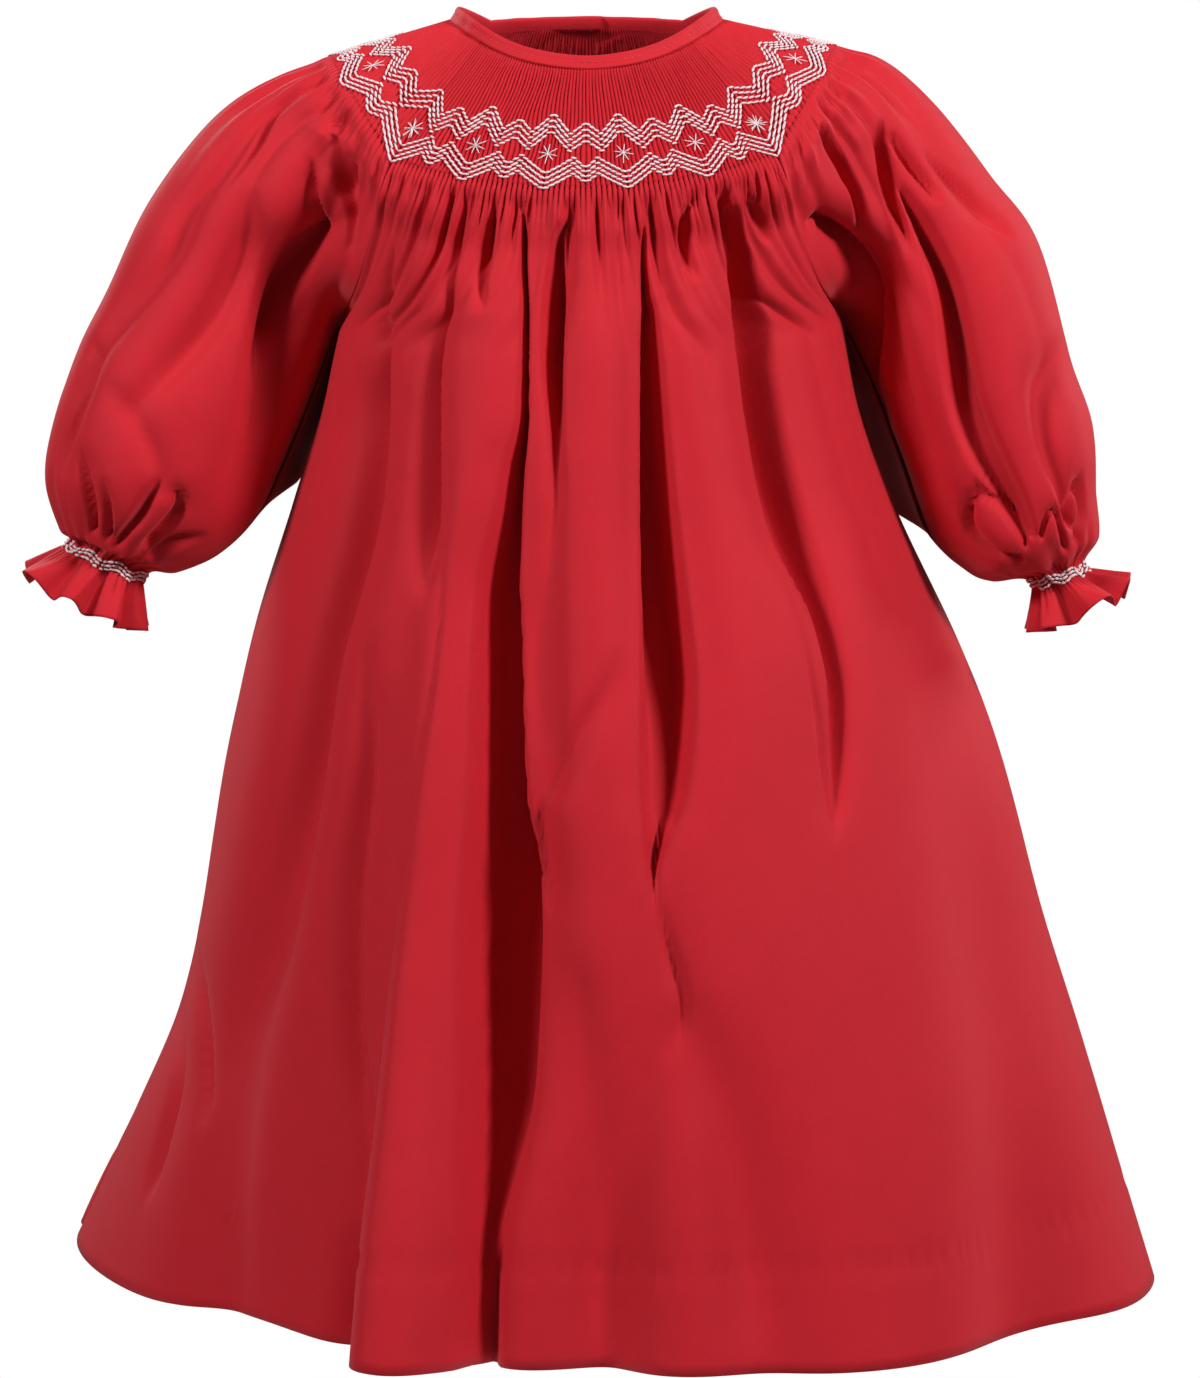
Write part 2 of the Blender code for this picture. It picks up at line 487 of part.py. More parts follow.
def make_button(name, place, normal, material):
    """A round button with a raised rim, lying face out at a place."""
    axis = unit(normal)
    side = unit(np.cross(axis, np.array((0, 0, 1.0))))
    up = np.cross(side, axis)
    profile = ((0.0, 0.0), (BUTTON_RADIUS * 0.9, 0.0), (BUTTON_RADIUS, BUTTON_THICKNESS * 0.4),
               (BUTTON_RADIUS * 0.95, BUTTON_THICKNESS), (BUTTON_RADIUS * 0.72, BUTTON_THICKNESS),
               (BUTTON_RADIUS * 0.6, BUTTON_THICKNESS * 0.7), (0.0, BUTTON_THICKNESS * 0.7))
    vertices = [place + axis * profile[0][1]]
    for radius, height in profile[1:-1]:
        for step in range(BUTTON_SIDES):
            turn = 2 * math.pi * step / BUTTON_SIDES
            vertices.append(place + axis * height + radius * (side * math.cos(turn) + up * math.sin(turn)))
    vertices.append(place + axis * profile[-1][1])
    faces = []
    rings = len(profile) - 2
    last = len(vertices) - 1
    for step in range(BUTTON_SIDES):
        after = (step + 1) % BUTTON_SIDES
        faces.append((0, 1 + after, 1 + step))
        for ring in range(rings - 1):
            a = 1 + ring * BUTTON_SIDES
            b = a + BUTTON_SIDES
            faces.append((a + step, a + after, b + after, b + step))
        top = 1 + (rings - 1) * BUTTON_SIDES
        faces.append((last, top + step, top + after))
    return solid(name, np.array(vertices), faces, material)


def main():
    for thing in list(bpy.data.objects):
        bpy.data.objects.remove(thing)
    cotton = cloth_material("red cotton", RED, 0.8)
    button_finish = cloth_material("white button", BUTTON_WHITE, 0.35)
    front, back, sleeves, normals = make_panels()
    middle = BACK_POINTS_ACROSS - 1
    wall("front", front, normals["front"], cotton)
    halves = {"back_left": (slice(0, middle + 1), -1, -1), "back_right": (slice(middle, None), 0, 1)}
    for name, (columns, edge, side) in halves.items():
        points = back[:, columns].copy()
        points[:, edge] += np.array((side * SEAM / 2, 0, 0))
        wall(name, points, normals["back"][:, columns], cotton)
    wall("sleeve_left", sleeves[-1], normals[-1], cotton)
    wall("sleeve_right", sleeves[1], normals[1], cotton)
    make_binding(front, back, sleeves, normals, cotton)
    points, turned = make_placket(back, normals["back"], cotton)
    for name, row in (("button_top", 1), ("button_middle", 5), ("button_low", 8)):
        place = (points[row, 1] + points[row, 2]) / 2 + turned[row, 1] * BUTTON_CLEAR
        make_button(name, place, turned[row, 1], button_finish)


main()
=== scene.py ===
"""The looks of a small child's smocked peasant dress in red cotton, worn and hollow.

Metres, +Z up, the front faces -Y. Every panel is cut, gathered and folded here on the same sections as
the part's own walls, at a much finer grid: rows run from the neck (0) by the yoke's edge (1) and the
armpits (4) to the hem (12), or to the end of the wrist frill (11) on a sleeve.
"""
import json
import math

import bpy
import numpy as np
from mathutils import Matrix, Vector

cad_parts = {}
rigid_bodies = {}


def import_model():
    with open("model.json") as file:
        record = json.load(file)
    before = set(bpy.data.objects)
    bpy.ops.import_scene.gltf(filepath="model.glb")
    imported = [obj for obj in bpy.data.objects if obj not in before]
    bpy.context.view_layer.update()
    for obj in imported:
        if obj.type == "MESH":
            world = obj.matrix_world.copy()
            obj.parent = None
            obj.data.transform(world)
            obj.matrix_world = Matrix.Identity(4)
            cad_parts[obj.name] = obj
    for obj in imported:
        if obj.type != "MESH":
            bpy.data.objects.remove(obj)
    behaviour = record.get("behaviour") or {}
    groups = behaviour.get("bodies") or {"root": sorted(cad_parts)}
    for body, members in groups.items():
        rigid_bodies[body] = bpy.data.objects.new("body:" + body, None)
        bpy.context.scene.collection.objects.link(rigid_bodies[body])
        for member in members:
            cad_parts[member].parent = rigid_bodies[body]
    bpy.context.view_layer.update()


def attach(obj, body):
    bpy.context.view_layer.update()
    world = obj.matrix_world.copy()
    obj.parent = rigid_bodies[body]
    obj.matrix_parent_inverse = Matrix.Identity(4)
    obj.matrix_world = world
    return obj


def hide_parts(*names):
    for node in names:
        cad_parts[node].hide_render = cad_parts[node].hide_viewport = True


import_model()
for thing in bpy.data.objects:
    thing.select_set(False)

# ---------------------------------------------------------------- sizes
CLOTH = 0.0005              # thickness of the cotton as it shows
HEM_CLOTH = 0.0011          # where the hem is turned up
HEM_DEPTH = 0.036
HEM_STITCHES = 88
SEAM = 0.00002              # between neighbouring pieces, along their shared line
JOIN_ROW = 0.955            # where the pleated yoke ends and the open cloth begins
ARMPIT_ROW = 4
WRIST_ROW = 10
PLEATS_EACH_REPEAT = 16     # pleats between two stars
FRONT_REPEATS = 5
SLEEVE_REPEATS = 4
BACK_REPEATS = 5
WRIST_PLEATS = 48
BINDING_HEIGHT = 0.0042
BINDING_LEAN = 0.55         # how far it leans in to the neck as it rises
FRONT_OUT = (0, -1, 0)      # the way a front panel's face looks
BACK_OUT = (0, 1, 0)
VALLEY_FALL = 1.6           # how steeply a valley's edge falls in
LEAST_EDGE = 0.4            # the least softness of a valley's edge, in millimetres
SHOULDER_REACH = 4.5        # how far the cloth beside a valley gives, in millimetres
SHOULDER_SHARE = 0.22       # and its share of the depth
ROLL_REACH = 0.0014         # how far in from a seam the cloth rolls, and how deep
ROLL_DEPTH = 0.0002
FRILL_DEPTH = 0.0048

# How a sleeve's inner back leans in behind the body, for each side: the height where it stops, its
# easing past the body's edge, and how far back it goes; then where round the sleeve, in radians.
TUCKS = {-1: (-0.186, -0.0012, 0.020), 1: (-0.198, 0.0015, 0.007)}
TUCK_ANGLE = 2.45
TUCK_SPREAD = 0.42

# Where the front hem climbs: the middle of the climb (x), its half width and its height.
HEM_CLIMBS = ((-0.122, 0.030, 0.0055), (0.165, 0.034, 0.0048))

SLEEVE_COLUMNS = ("station", "out_x", "out_z", "in_x", "in_z", "half_angle", "half_depth", "rise", "fore")
LEFT_SLEEVE = (
    ("neck", -0.0490, -0.0052, -0.0375, -0.0115, 40, 0.0475, 0.0050, 0.000),
    ("yoke", -0.0955, -0.0190, -0.0690, -0.0560, 48, 0.0890, 0.0050, 0.000),
    ("chest", -0.1200, -0.0280, -0.0760, -0.0810, 75, 0.0625, 0.0030, 0.000),
    ("bust", -0.1400, -0.0430, -0.0830, -0.1030, 120, 0.0480, 0.0010, 0.000),
    ("armpit", -0.1626, -0.0725, -0.0920, -0.1180, 180, 0.0420, 0.0000, 0.000),
    ("upper", -0.1777, -0.1040, -0.1040, -0.1480, 180, 0.0430, 0.0000, 0.002),
    ("elbow", -0.1890, -0.1270, -0.1130, -0.1690, 180, 0.0440, 0.0000, 0.004),
    ("forearm", -0.1986, -0.1570, -0.1230, -0.1895, 180, 0.0430, 0.0000, 0.006),
    ("blouse", -0.2006, -0.1760, -0.1370, -0.2030, 180, 0.0370, 0.0000, 0.008),
    ("gather", -0.1960, -0.1930, -0.1520, -0.2097, 180, 0.0250, 0.0000, 0.009),
    ("wrist", -0.1932, -0.1980, -0.1637, -0.2115, 180, 0.0155, 0.0000, 0.010),
    ("frill", -0.2105, -0.2070, -0.1642, -0.2310, 180, 0.0240, 0.0000, 0.010),
)
RIGHT_SLEEVE = (
    ("neck", 0.0490, -0.0052, 0.0375, -0.0115, 40, 0.0475, 0.0050, 0.000),
    ("yoke", 0.0925, -0.0150, 0.0680, -0.0540, 48, 0.0890, 0.0050, 0.000),
    ("chest", 0.1120, -0.0210, 0.0755, -0.0795, 75, 0.0625, 0.0030, 0.000),
    ("bust", 0.1290, -0.0370, 0.0840, -0.1010, 120, 0.0480, 0.0010, 0.000),
    ("armpit", 0.1487, -0.0637, 0.0940, -0.1150, 180, 0.0420, 0.0000, 0.000),
    ("upper", 0.1660, -0.0870, 0.1060, -0.1380, 180, 0.0430, 0.0000, 0.002),
    ("elbow", 0.1804, -0.1300, 0.1170, -0.1660, 180, 0.0440, 0.0000, 0.004),
    ("forearm", 0.1890, -0.1535, 0.1280, -0.1960, 180, 0.0420, 0.0000, 0.006),
    ("blouse", 0.1910, -0.1800, 0.1410, -0.2090, 180, 0.0370, 0.0000, 0.008),
    ("gather", 0.1905, -0.1960, 0.1506, -0.2130, 180, 0.0250, 0.0000, 0.009),
    ("wrist", 0.1853, -0.2070, 0.1648, -0.2135, 180, 0.0150, 0.0000, 0.010),
    ("frill", 0.2020, -0.2120, 0.1652, -0.2315, 180, 0.0230, 0.0000, 0.010),
)
YOKE_COLUMNS = ("station", "front_y", "front_z", "back_y", "back_z", "bend")
YOKE = (
    ("neck", -0.0475, -0.0256, 0.0445, -0.0060, 50),
    ("yoke", -0.0850, -0.0700, 0.0780, -0.0500, 42),
    ("chest", -0.0920, -0.0930, 0.0830, -0.0780, 55),
    ("bust", -0.0970, -0.1120, 0.0860, -0.1000, 72),
)
SKIRT_COLUMNS = ("station", "left_x", "left_y", "left_z", "right_x", "right_y", "right_z",
                 "front_y", "front_z", "back_y", "back_z")
SKIRT = (
    ("armpit", -0.0920, 0.000, -0.118, 0.0940, 0.000, -0.1150, -0.100, -0.128, 0.088, -0.120),
    ("ribs", -0.0990, 0.004, -0.150, 0.1015, 0.000, -0.1500, -0.103, -0.150, 0.090, -0.150),
    ("waist", -0.1110, 0.010, -0.186, 0.1165, 0.000, -0.1880, -0.109, -0.186, 0.092, -0.186),
    ("hip", -0.1260, 0.020, -0.235, 0.1395, 0.000, -0.2357, -0.117, -0.235, 0.099, -0.235),
    ("thigh", -0.1378, 0.030, -0.281, 0.1553, 0.000, -0.2765, -0.124, -0.281, 0.105, -0.281),
    ("knee", -0.1480, 0.045, -0.336, 0.1716, 0.000, -0.3360, -0.131, -0.336, 0.113, -0.336),
    ("calf", -0.1600, 0.055, -0.384, 0.1870, 0.000, -0.3840, -0.137, -0.384, 0.120, -0.384),
    ("low", -0.1800, 0.065, -0.430, 0.2010, 0.000, -0.4300, -0.141, -0.430, 0.127, -0.430),
    ("hem", -0.2016, 0.075, -0.477, 0.2148, 0.000, -0.4770, -0.145, -0.477, 0.135, -0.477),
)

# Broad folds: where each runs across the body (x) and how far it stands out or sinks in, at FOLD_ROWS,
# with the half widths of its left and right sides at the top and at the hem, and its sharpness (2 is
# soft and round, less is more of a crease).
FOLD_ROWS = (1, 3, 5, 6, 7, 8, 9, 11, 12)
FRONT_FOLDS = (
    ("great ridge", (-0.037, -0.037, -0.038, -0.040, -0.044, -0.050, -0.054, -0.060, -0.062),
     (0, 0, 0.002, 0.004, 0.008, 0.012, 0.017, 0.028, 0.034), (0.012, 0.016), (0.010, 0.022), 2.4),
    ("hem middle dip", (0.005, 0.005, 0.010, 0.015, 0.020, 0.024, 0.024, 0.010, 0.005),
     (0, 0, 0, 0, 0, 0, -0.005, -0.013, -0.016), (0.012, 0.018), (0.010, 0.016), 1.9),
    ("right hem dip", (0.040, 0.040, 0.040, 0.042, 0.045, 0.048, 0.052, 0.060, 0.064),
     (0, 0, 0, 0, 0, 0, -0.001, -0.006, -0.008), (0.010, 0.018), (0.012, 0.018), 2.0),
    ("right flat", (0.090, 0.095, 0.105, 0.115, 0.125, 0.138, 0.150, 0.165, 0.168),
     (0, 0, 0, 0, -0.002, -0.005, -0.010, -0.018, -0.022), (0.020, 0.040), (0.020, 0.040), 2.0),
)
BACK_FOLDS = (
    ("back middle ridge", (-0.010, -0.010, -0.012, -0.014, -0.016, -0.018, -0.020, -0.024, -0.026),
     (0, 0.001, 0.002, 0.004, 0.005, 0.006, 0.007, 0.008, 0.008), (0.010, 0.020), (0.010, 0.020), 2.0),
    ("back left ridge", (-0.045, -0.050, -0.056, -0.064, -0.074, -0.084, -0.094, -0.110, -0.118),
     (0, 0.001, 0.002, 0.003, 0.005, 0.007, 0.009, 0.012, 0.013), (0.010, 0.020), (0.010, 0.020), 2.0),
    ("back right ridge", (0.035, 0.042, 0.050, 0.058, 0.068, 0.078, 0.088, 0.104, 0.112),
     (0, 0.001, 0.002, 0.003, 0.005, 0.007, 0.009, 0.012, 0.013), (0.010, 0.022), (0.010, 0.022), 2.0),
)
SLEEVE_FOLD_ROWS = (1, 3, 4, 5, 6, 7, 8, 10)
LEFT_SLEEVE_FOLDS = (
    ("inner trough", (-36, -95, -120, -135, -144, -144, -144, -144),
     (-0.001, -0.008, -0.010, -0.008, -0.004, -0.001, 0, 0), 0.010, 1.6),
    ("back inner trough", (38, 100, 125, 138, 146, 146, 146, 146),
     (-0.001, -0.006, -0.008, -0.006, -0.003, -0.001, 0, 0), 0.010, 1.7),
)
RIGHT_SLEEVE_FOLDS = (
    ("inner trough", (-42, -100, -125, -140, -144, -144, -144, -144),
     (-0.001, -0.008, -0.008, -0.005, -0.003, -0.001, 0, 0), 0.009, 1.6),
    ("back inner trough", (40, 98, 122, 138, 146, 146, 146, 146),
     (-0.001, -0.006, -0.007, -0.005, -0.003, -0.001, 0, 0), 0.010, 1.7),
)

# Deep valleys and creases, in millimetres: at each point of its path a valley has an x, a z, a half
# width, a depth, and how softly its left and right edges fall in, seen from that side of the dress.
FRONT_VALLEYS = (
    ("left side valley", (-69, -92, 0.5, 1.5, 2, 1.2), (-73, -111, 0.8, 4, 2, 1.2),
     (-74.3, -128, 1.5, 9, 3, 1.2), (-77.5, -149, 4.5, 14, 4, 1.2), (-82, -185, 5, 15, 4, 1.5),
     (-94, -234, 4, 13, 5, 2), (-100.5, -269, 4, 12, 5, 3), (-107, -300, 5, 10, 6, 4),
     (-115, -335, 6, 8, 8, 6), (-128, -375, 9, 5, 9, 9), (-133, -420, 10, 5, 10, 9),
     (-135, -470, 10, 5, 10, 9)),
    ("left valley", (-42.5, -69, 0.4, 1.5, 2, 0.8), (-46.7, -92, 0.6, 4.5, 3, 0.8),
     (-48.8, -109, 0.7, 6, 3, 0.8), (-51.5, -123.5, 0.9, 7, 4, 0.8), (-53, -138, 1.3, 8, 4, 0.8),
     (-53.5, -165, 2, 8, 5, 0.9), (-54, -185, 2.4, 7, 5, 1), (-55, -200, 2, 3, 5, 2),
     (-56, -212, 2, 0, 5, 3)),
    ("short left valley", (-32, -74, 0.6, 2, 1, 0.6), (-34, -83, 1.4, 5, 1.5, 0.7),
     (-36, -93, 1.8, 6, 2, 0.8), (-37, -102, 1.6, 4, 2, 1), (-36, -113, 1, 0, 2, 2)),
    ("great valley", (-22.4, -68, 0.4, 2, 0.8, 0.8), (-22.4, -90, 0.7, 8, 0.8, 0.8),
     (-22.4, -110, 0.8, 11, 0.8, 0.8), (-22.5, -130, 0.9, 13, 0.9, 0.8), (-22.8, -150, 1.2, 15, 1.0, 0.8),
     (-25.5, -165, 2.4, 17, 1.5, 0.9), (-28, -183, 3.4, 20, 1.8, 1), (-31.5, -205, 5.6, 24, 1.8, 1.1),
     (-32.2, -225, 6.7, 27, 1.2, 1.2), (-32, -281, 8, 30, 1.2, 1.2), (-30.6, -305, 11, 30, 1.2, 1.6),
     (-31, -335, 11.4, 29, 1.2, 2.5), (-32, -381, 9.3, 25, 1.3, 4), (-34, -405, 7, 20, 1.4, 5),
     (-36, -430, 4, 15, 1.5, 5), (-37, -450, 3.5, 12, 1.5, 4), (-37.5, -480, 4, 10, 1.5, 4)),
    ("middle valley", (-6.8, -79, 0.4, 2, 1, 0.7), (-9.5, -86, 1.4, 7, 1.5, 0.7),
     (-11.1, -104, 3.3, 12, 2.2, 0.8), (-11.9, -119, 3.4, 13, 2.5, 0.8), (-11.8, -133, 3, 12, 2.5, 0.8),
     (-11, -146, 2.4, 9, 2.5, 0.9), (-10.6, -158, 2, 6, 3, 1.2), (-10.8, -175, 2.5, 4, 4, 3),
     (-13, -200, 4, 3.5, 5, 5), (-14, -235, 6, 3.5, 5, 5), (-13, -265, 5, 2, 5, 4), (-12, -282, 4, 0, 5, 4)),
    ("right middle valley", (21, -80, 0.4, 2, 0.9, 0.9), (21.3, -93, 0.7, 7, 0.9, 0.9),
     (22.5, -105, 1.4, 10, 1, 0.9), (23.8, -112, 2.3, 12, 1, 0.9), (24.8, -127.5, 3.4, 15, 1, 1),
     (25.7, -149, 4.4, 19, 1, 1), (27.5, -185.5, 6.3, 23, 1.1, 1), (29, -215, 7.6, 23, 1.3, 1.1),
     (29.8, -235, 8.4, 21, 1.6, 1.4), (29.5, -247, 8.2, 19, 1.8, 2), (28.5, -265, 7.4, 15, 2, 3),
     (27, -281, 6, 11, 2, 3), (25, -293, 3, 6, 1.5, 2), (23.5, -305, 1.5, 3, 1, 1), (24, -318, 1, 0, 1, 1)),
    ("short right valley", (37.6, -71, 0.5, 2, 0.8, 1), (36, -78, 1.6, 5, 0.8, 1.5),
     (36, -86, 2, 6, 0.9, 2), (37, -93, 1.6, 4, 1, 2), (41, -101, 1, 0, 1, 2)),
    ("right valley", (49.8, -70, 2.2, 4, 0.9, 1.5), (54.8, -84, 3.8, 11, 0.9, 1.5),
     (58.2, -97, 4.6, 14, 0.9, 1.6), (61.5, -118, 5.2, 16, 1, 1.8), (64.4, -141, 5.2, 18, 1, 2),
     (69, -165, 5.7, 18, 1, 2), (75.3, -189, 5.9, 17, 1.1, 2), (83.8, -214, 3.2, 12, 1.2, 2),
     (88.5, -235, 2.6, 9, 1.2, 2), (90, -247, 2.6, 8, 1.3, 2), (90.2, -265, 2.4, 6, 1.4, 2),
     (88.8, -282, 1.6, 3, 1.5, 2), (87, -292, 1, 0, 1.5, 2)),
    ("right valley's crease", (72, -205, 0.8, 0, 1, 3), (79.3, -238, 0.8, 1.6, 1, 3),
     (84, -268, 0.8, 1.8, 1, 3), (86.5, -292, 0.8, 0, 1, 3)),
    ("far right leaf", (59.5, -68, 0.6, 2, 0.8, 1), (63, -78, 1.5, 5, 0.9, 1.2), (67, -89, 0.8, 0, 1, 1.5)),
    ("fold edge", (-48.8, -197, 0.5, 0.5, 3, 0.7), (-50.5, -229, 0.5, 1.6, 4, 0.7),
     (-55, -268, 0.5, 2.0, 4, 0.7), (-59.5, -304, 0.5, 2.2, 5, 0.7), (-64, -331, 0.5, 2.6, 5, 0.7),
     (-68.6, -372, 0.6, 3.2, 5, 0.7), (-74, -408, 0.8, 4, 5, 0.8), (-77.6, -429, 1, 5, 6, 0.8),
     (-81.4, -447, 1.5, 7, 6, 0.9), (-84, -482, 2.5, 10, 6, 1)),
    ("soft fold beside it", (-76.9, -232, 1, 1, 4, 3), (-77.6, -268, 1.8, 4.5, 5, 3),
     (-83, -313, 2.4, 6, 6, 3), (-83, -366, 2.4, 6, 6, 3), (-77, -402, 2, 3.5, 5, 4),
     (-80, -430, 2, 0, 5, 4)),
    ("inner lip", (27, -288, 0.8, 1, 1.2, 0.8), (24.5, -297, 1, 3, 1.4, 0.8), (22, -307, 0.8, 0, 1.2, 0.8)),
    ("knee wrinkle", (24, -312, 1, 0, 3, 2), (27, -324, 1.4, 2, 3, 1.8), (31, -337, 1.6, 3.4, 3.5, 1.8),
     (34, -349, 1.6, 3.4, 3.5, 1.8), (32, -361, 1.4, 2, 3.5, 2), (26, -370, 1, 0, 3, 2.5)),
    ("middle slant", (12, -230, 1.5, 0, 4, 5), (8, -242, 2, 2, 4, 6), (-3, -259, 2.4, 3.4, 3.6, 6),
     (-12, -275, 2.4, 3.4, 3.6, 6), (-18, -288, 2, 1, 4, 6), (-20, -298, 1, 0, 4, 6)),
    ("fold's lip", (-19.5, -283, 0.8, 0, 1, 2), (-17, -290, 1, 3, 1, 2.5), (-15.5, -305, 1.2, 3, 1.2, 3),
     (-12, -317, 1, 0, 1.5, 3)),
    ("middle low trough", (-4, -330, 4, 0, 8, 8), (-2, -360, 6, 3.5, 9, 9), (0, -400, 7, 4, 9, 9),
     (2, -440, 7, 3, 9, 9), (2, -470, 7, 0, 9, 9)),
    ("right low trough", (36, -345, 5, 0, 9, 9), (42, -370, 7, 3.5, 10, 10), (50, -400, 8, 4, 11, 11),
     (56, -440, 8, 3, 11, 11), (58, -470, 8, 0, 11, 11)),
    ("side pucker", (-150, -352, 1, 0, 2, 1.5), (-148, -372, 1.6, 4, 2, 1.5), (-146, -395, 1.4, 4, 2, 1.5),
     (-145, -412, 1, 0, 2, 1.5)),
    ("low side pucker", (-160, -372, 1, 0, 2, 2), (-158, -398, 1.6, 4, 2, 2), (-163, -425, 1.6, 4, 2, 2),
     (-168, -447, 1, 0, 2, 2)),
    ("hem fold", (-30, -428, 1, 0, 1, 3), (-33, -445, 1.5, 4, 1, 3), (-35, -478, 2, 5, 1, 4)),
)
BACK_VALLEYS = (
    ("first", (-66, -70, 0.6, 2, 1, 2), (-72, -92, 1.5, 6, 1.2, 3), (-78, -125, 3, 12, 1.2, 4),
     (-87, -170, 5, 15, 1.4, 4), (-98, -225, 5, 13, 2, 5), (-112, -290, 5, 9, 4, 6),
     (-128, -350, 7, 6, 7, 8), (-140, -410, 9, 6, 9, 9), (-150, -475, 9, 6, 9, 9)),
    ("second", (-41, -58, 0.5, 2, 1, 1.5), (-44, -90, 0.9, 7, 1, 2), (-47, -125, 2, 11, 1, 2.5),
     (-52, -170, 4, 16, 1, 2.5), (-60, -225, 6, 20, 1.2, 2), (-68, -285, 8, 22, 1.2, 2),
     (-76, -345, 9, 21, 1.4, 3), (-84, -410, 8, 17, 1.5, 4), (-90, -475, 7, 14, 2, 4)),
    ("third", (-22, -54, 0.5, 2, 1, 1), (-23, -75, 1.3, 6, 1, 1.5), (-24, -100, 1.6, 6, 1, 2),
     (-25, -125, 1, 3, 1.5, 2), (-26, -150, 1, 0, 2, 2)),
    ("fourth", (21, -54, 0.5, 2, 0.8, 1), (21.5, -85, 1, 8, 0.8, 1.5), (22, -120, 2, 11, 0.8, 2),
     (22, -150, 2.5, 11, 0.8, 2.5), (20, -180, 2.5, 8, 1.2, 3), (18, -215, 3, 5, 3, 4),
     (18, -260, 4, 0, 5, 5)),
    ("fifth", (36, -56, 0.5, 2, 1, 0.8), (39, -85, 1, 7, 1.5, 0.8), (42, -120, 3, 13, 1.6, 0.9),
     (46, -165, 5, 18, 2, 1), (51, -220, 7, 22, 2, 1.1), (57, -280, 8, 22, 2.5, 1.2),
     (62, -340, 8, 18, 3, 1.5), (70, -400, 8, 14, 4, 2), (76, -475, 8, 12, 5, 3)),
    ("sixth", (52, -60, 0.5, 2, 1.5, 0.9), (57, -90, 1.5, 6, 2, 0.9), (62, -125, 3, 10, 3, 1),
     (70, -160, 3, 9, 4, 1.2), (78, -195, 3, 6, 4, 2), (86, -230, 3, 2, 4, 3), (92, -260, 3, 0, 4, 4)),
    ("seventh", (72, -80, 0.6, 2, 2, 1.2), (80, -110, 1.6, 7, 3, 1.2), (90, -150, 4, 13, 4, 1.2),
     (102, -205, 5, 15, 4, 1.5), (118, -270, 5, 12, 5, 2), (134, -335, 6, 8, 7, 5),
     (148, -400, 8, 6, 9, 8), (158, -470, 8, 6, 9, 9)),
    ("low trough", (-20, -300, 5, 0, 8, 8), (-14, -350, 7, 4, 9, 9), (-8, -410, 8, 5, 9, 9),
     (-4, -475, 8, 5, 9, 9)),
)
LEFT_SLEEVE_VALLEYS = (
    ("armpit valley", (-100.6, -58, 1, 2, 3, 0.9), (-100.8, -68, 2, 6, 4, 0.9), (-101, -80, 2.8, 8, 5, 0.9),
     (-101, -91, 3.2, 10, 5, 1), (-104, -103, 3.6, 10, 5, 1.2), (-108.5, -114, 3.5, 8, 5, 2),
     (-114, -128, 3, 3, 5, 3), (-118, -140, 3, 0, 5, 4)),
    ("inner leaf", (-93, -50, 1, 3, 1.5, 0.9), (-90, -62, 2.4, 7, 1.5, 1), (-87.5, -76, 1.8, 6, 1.5, 1.2),
     (-87, -92, 1.2, 3, 1.5, 1.5)),
    ("first trough", (-121, -68, 2, 0, 4, 4), (-124, -90, 4, 4.5, 5, 5), (-133, -112, 5, 5.5, 6, 5),
     (-146, -128, 4.5, 5, 6, 5), (-159, -142, 3.5, 2.5, 5, 4), (-168, -153, 3, 0, 4, 4)),
    ("second trough", (-122, -45, 1.5, 1, 3, 3), (-132, -58, 2.5, 3.5, 4, 4), (-145, -75, 3.5, 4.5, 5, 4),
     (-151, -91, 3.5, 4.5, 5, 4), (-168, -112, 3.5, 4, 5, 4), (-180, -128, 3, 3, 4, 4),
     (-188, -148, 2.5, 0, 4, 3)),
    ("shoulder crease", (-108, -34, 0.8, 2, 1.4, 0.9), (-114, -39, 1.3, 4, 1.8, 0.9),
     (-121, -52, 1.3, 3.5, 2, 1), (-133, -69, 1, 0, 2.5, 2)),
    ("elbow fold", (-176, -138, 1, 0, 4, 4), (-168, -146, 2, 1.6, 4, 5),
     (-158, -160, 2.4, 2.4, 4, 5), (-153, -174, 2, 2, 4, 5), (-152, -184, 1, 0, 4, 4)),
    ("wrist line", (-185, -160, 0.8, 0, 0.9, 2), (-184, -172, 1.2, 4, 0.9, 2.5), (-183, -184, 1.4, 5, 0.9, 3),
     (-182.3, -194, 1.2, 4, 0.9, 2)),
    ("wrist fold", (-154, -174, 1, 1, 2.5, 0.9), (-158, -181, 1.8, 5, 2.5, 0.9), (-163, -189, 2, 5.5, 2.5, 1),
     (-172, -199, 1.6, 4, 2, 1)),
    ("second wrist fold", (-149.5, -174, 1, 0, 2, 1.2), (-146, -183, 1.8, 4.5, 2, 1.4),
     (-151, -192, 2, 5, 2, 1.4), (-160, -201, 1.6, 4, 2, 1.2)),
    ("third wrist fold", (-176, -172, 0.8, 0, 1.5, 1), (-175, -183, 1.3, 3.5, 1.8, 1),
     (-175.5, -196, 1.2, 3.5, 1.5, 1)),
    ("outer edge", (-183, -121, 0.7, 0, 1, 2), (-181, -131, 1, 2.5, 1, 2), (-183.4, -143, 1, 3, 1, 2),
     (-190, -160, 1, 3, 1, 2), (-192, -174, 0.8, 0, 1, 2)),
    ("lower lip", (-138, -194, 0.8, 0, 1, 1.5), (-148, -198, 1.3, 3.5, 1, 1.5),
     (-158.5, -205, 1, 2.5, 1, 1.2)),
    ("yoke loop", (-96, -49, 0.8, 0, 1, 1), (-92, -43, 1.2, 3.5, 1, 1), (-84, -39.5, 1, 3, 1, 1)),
)
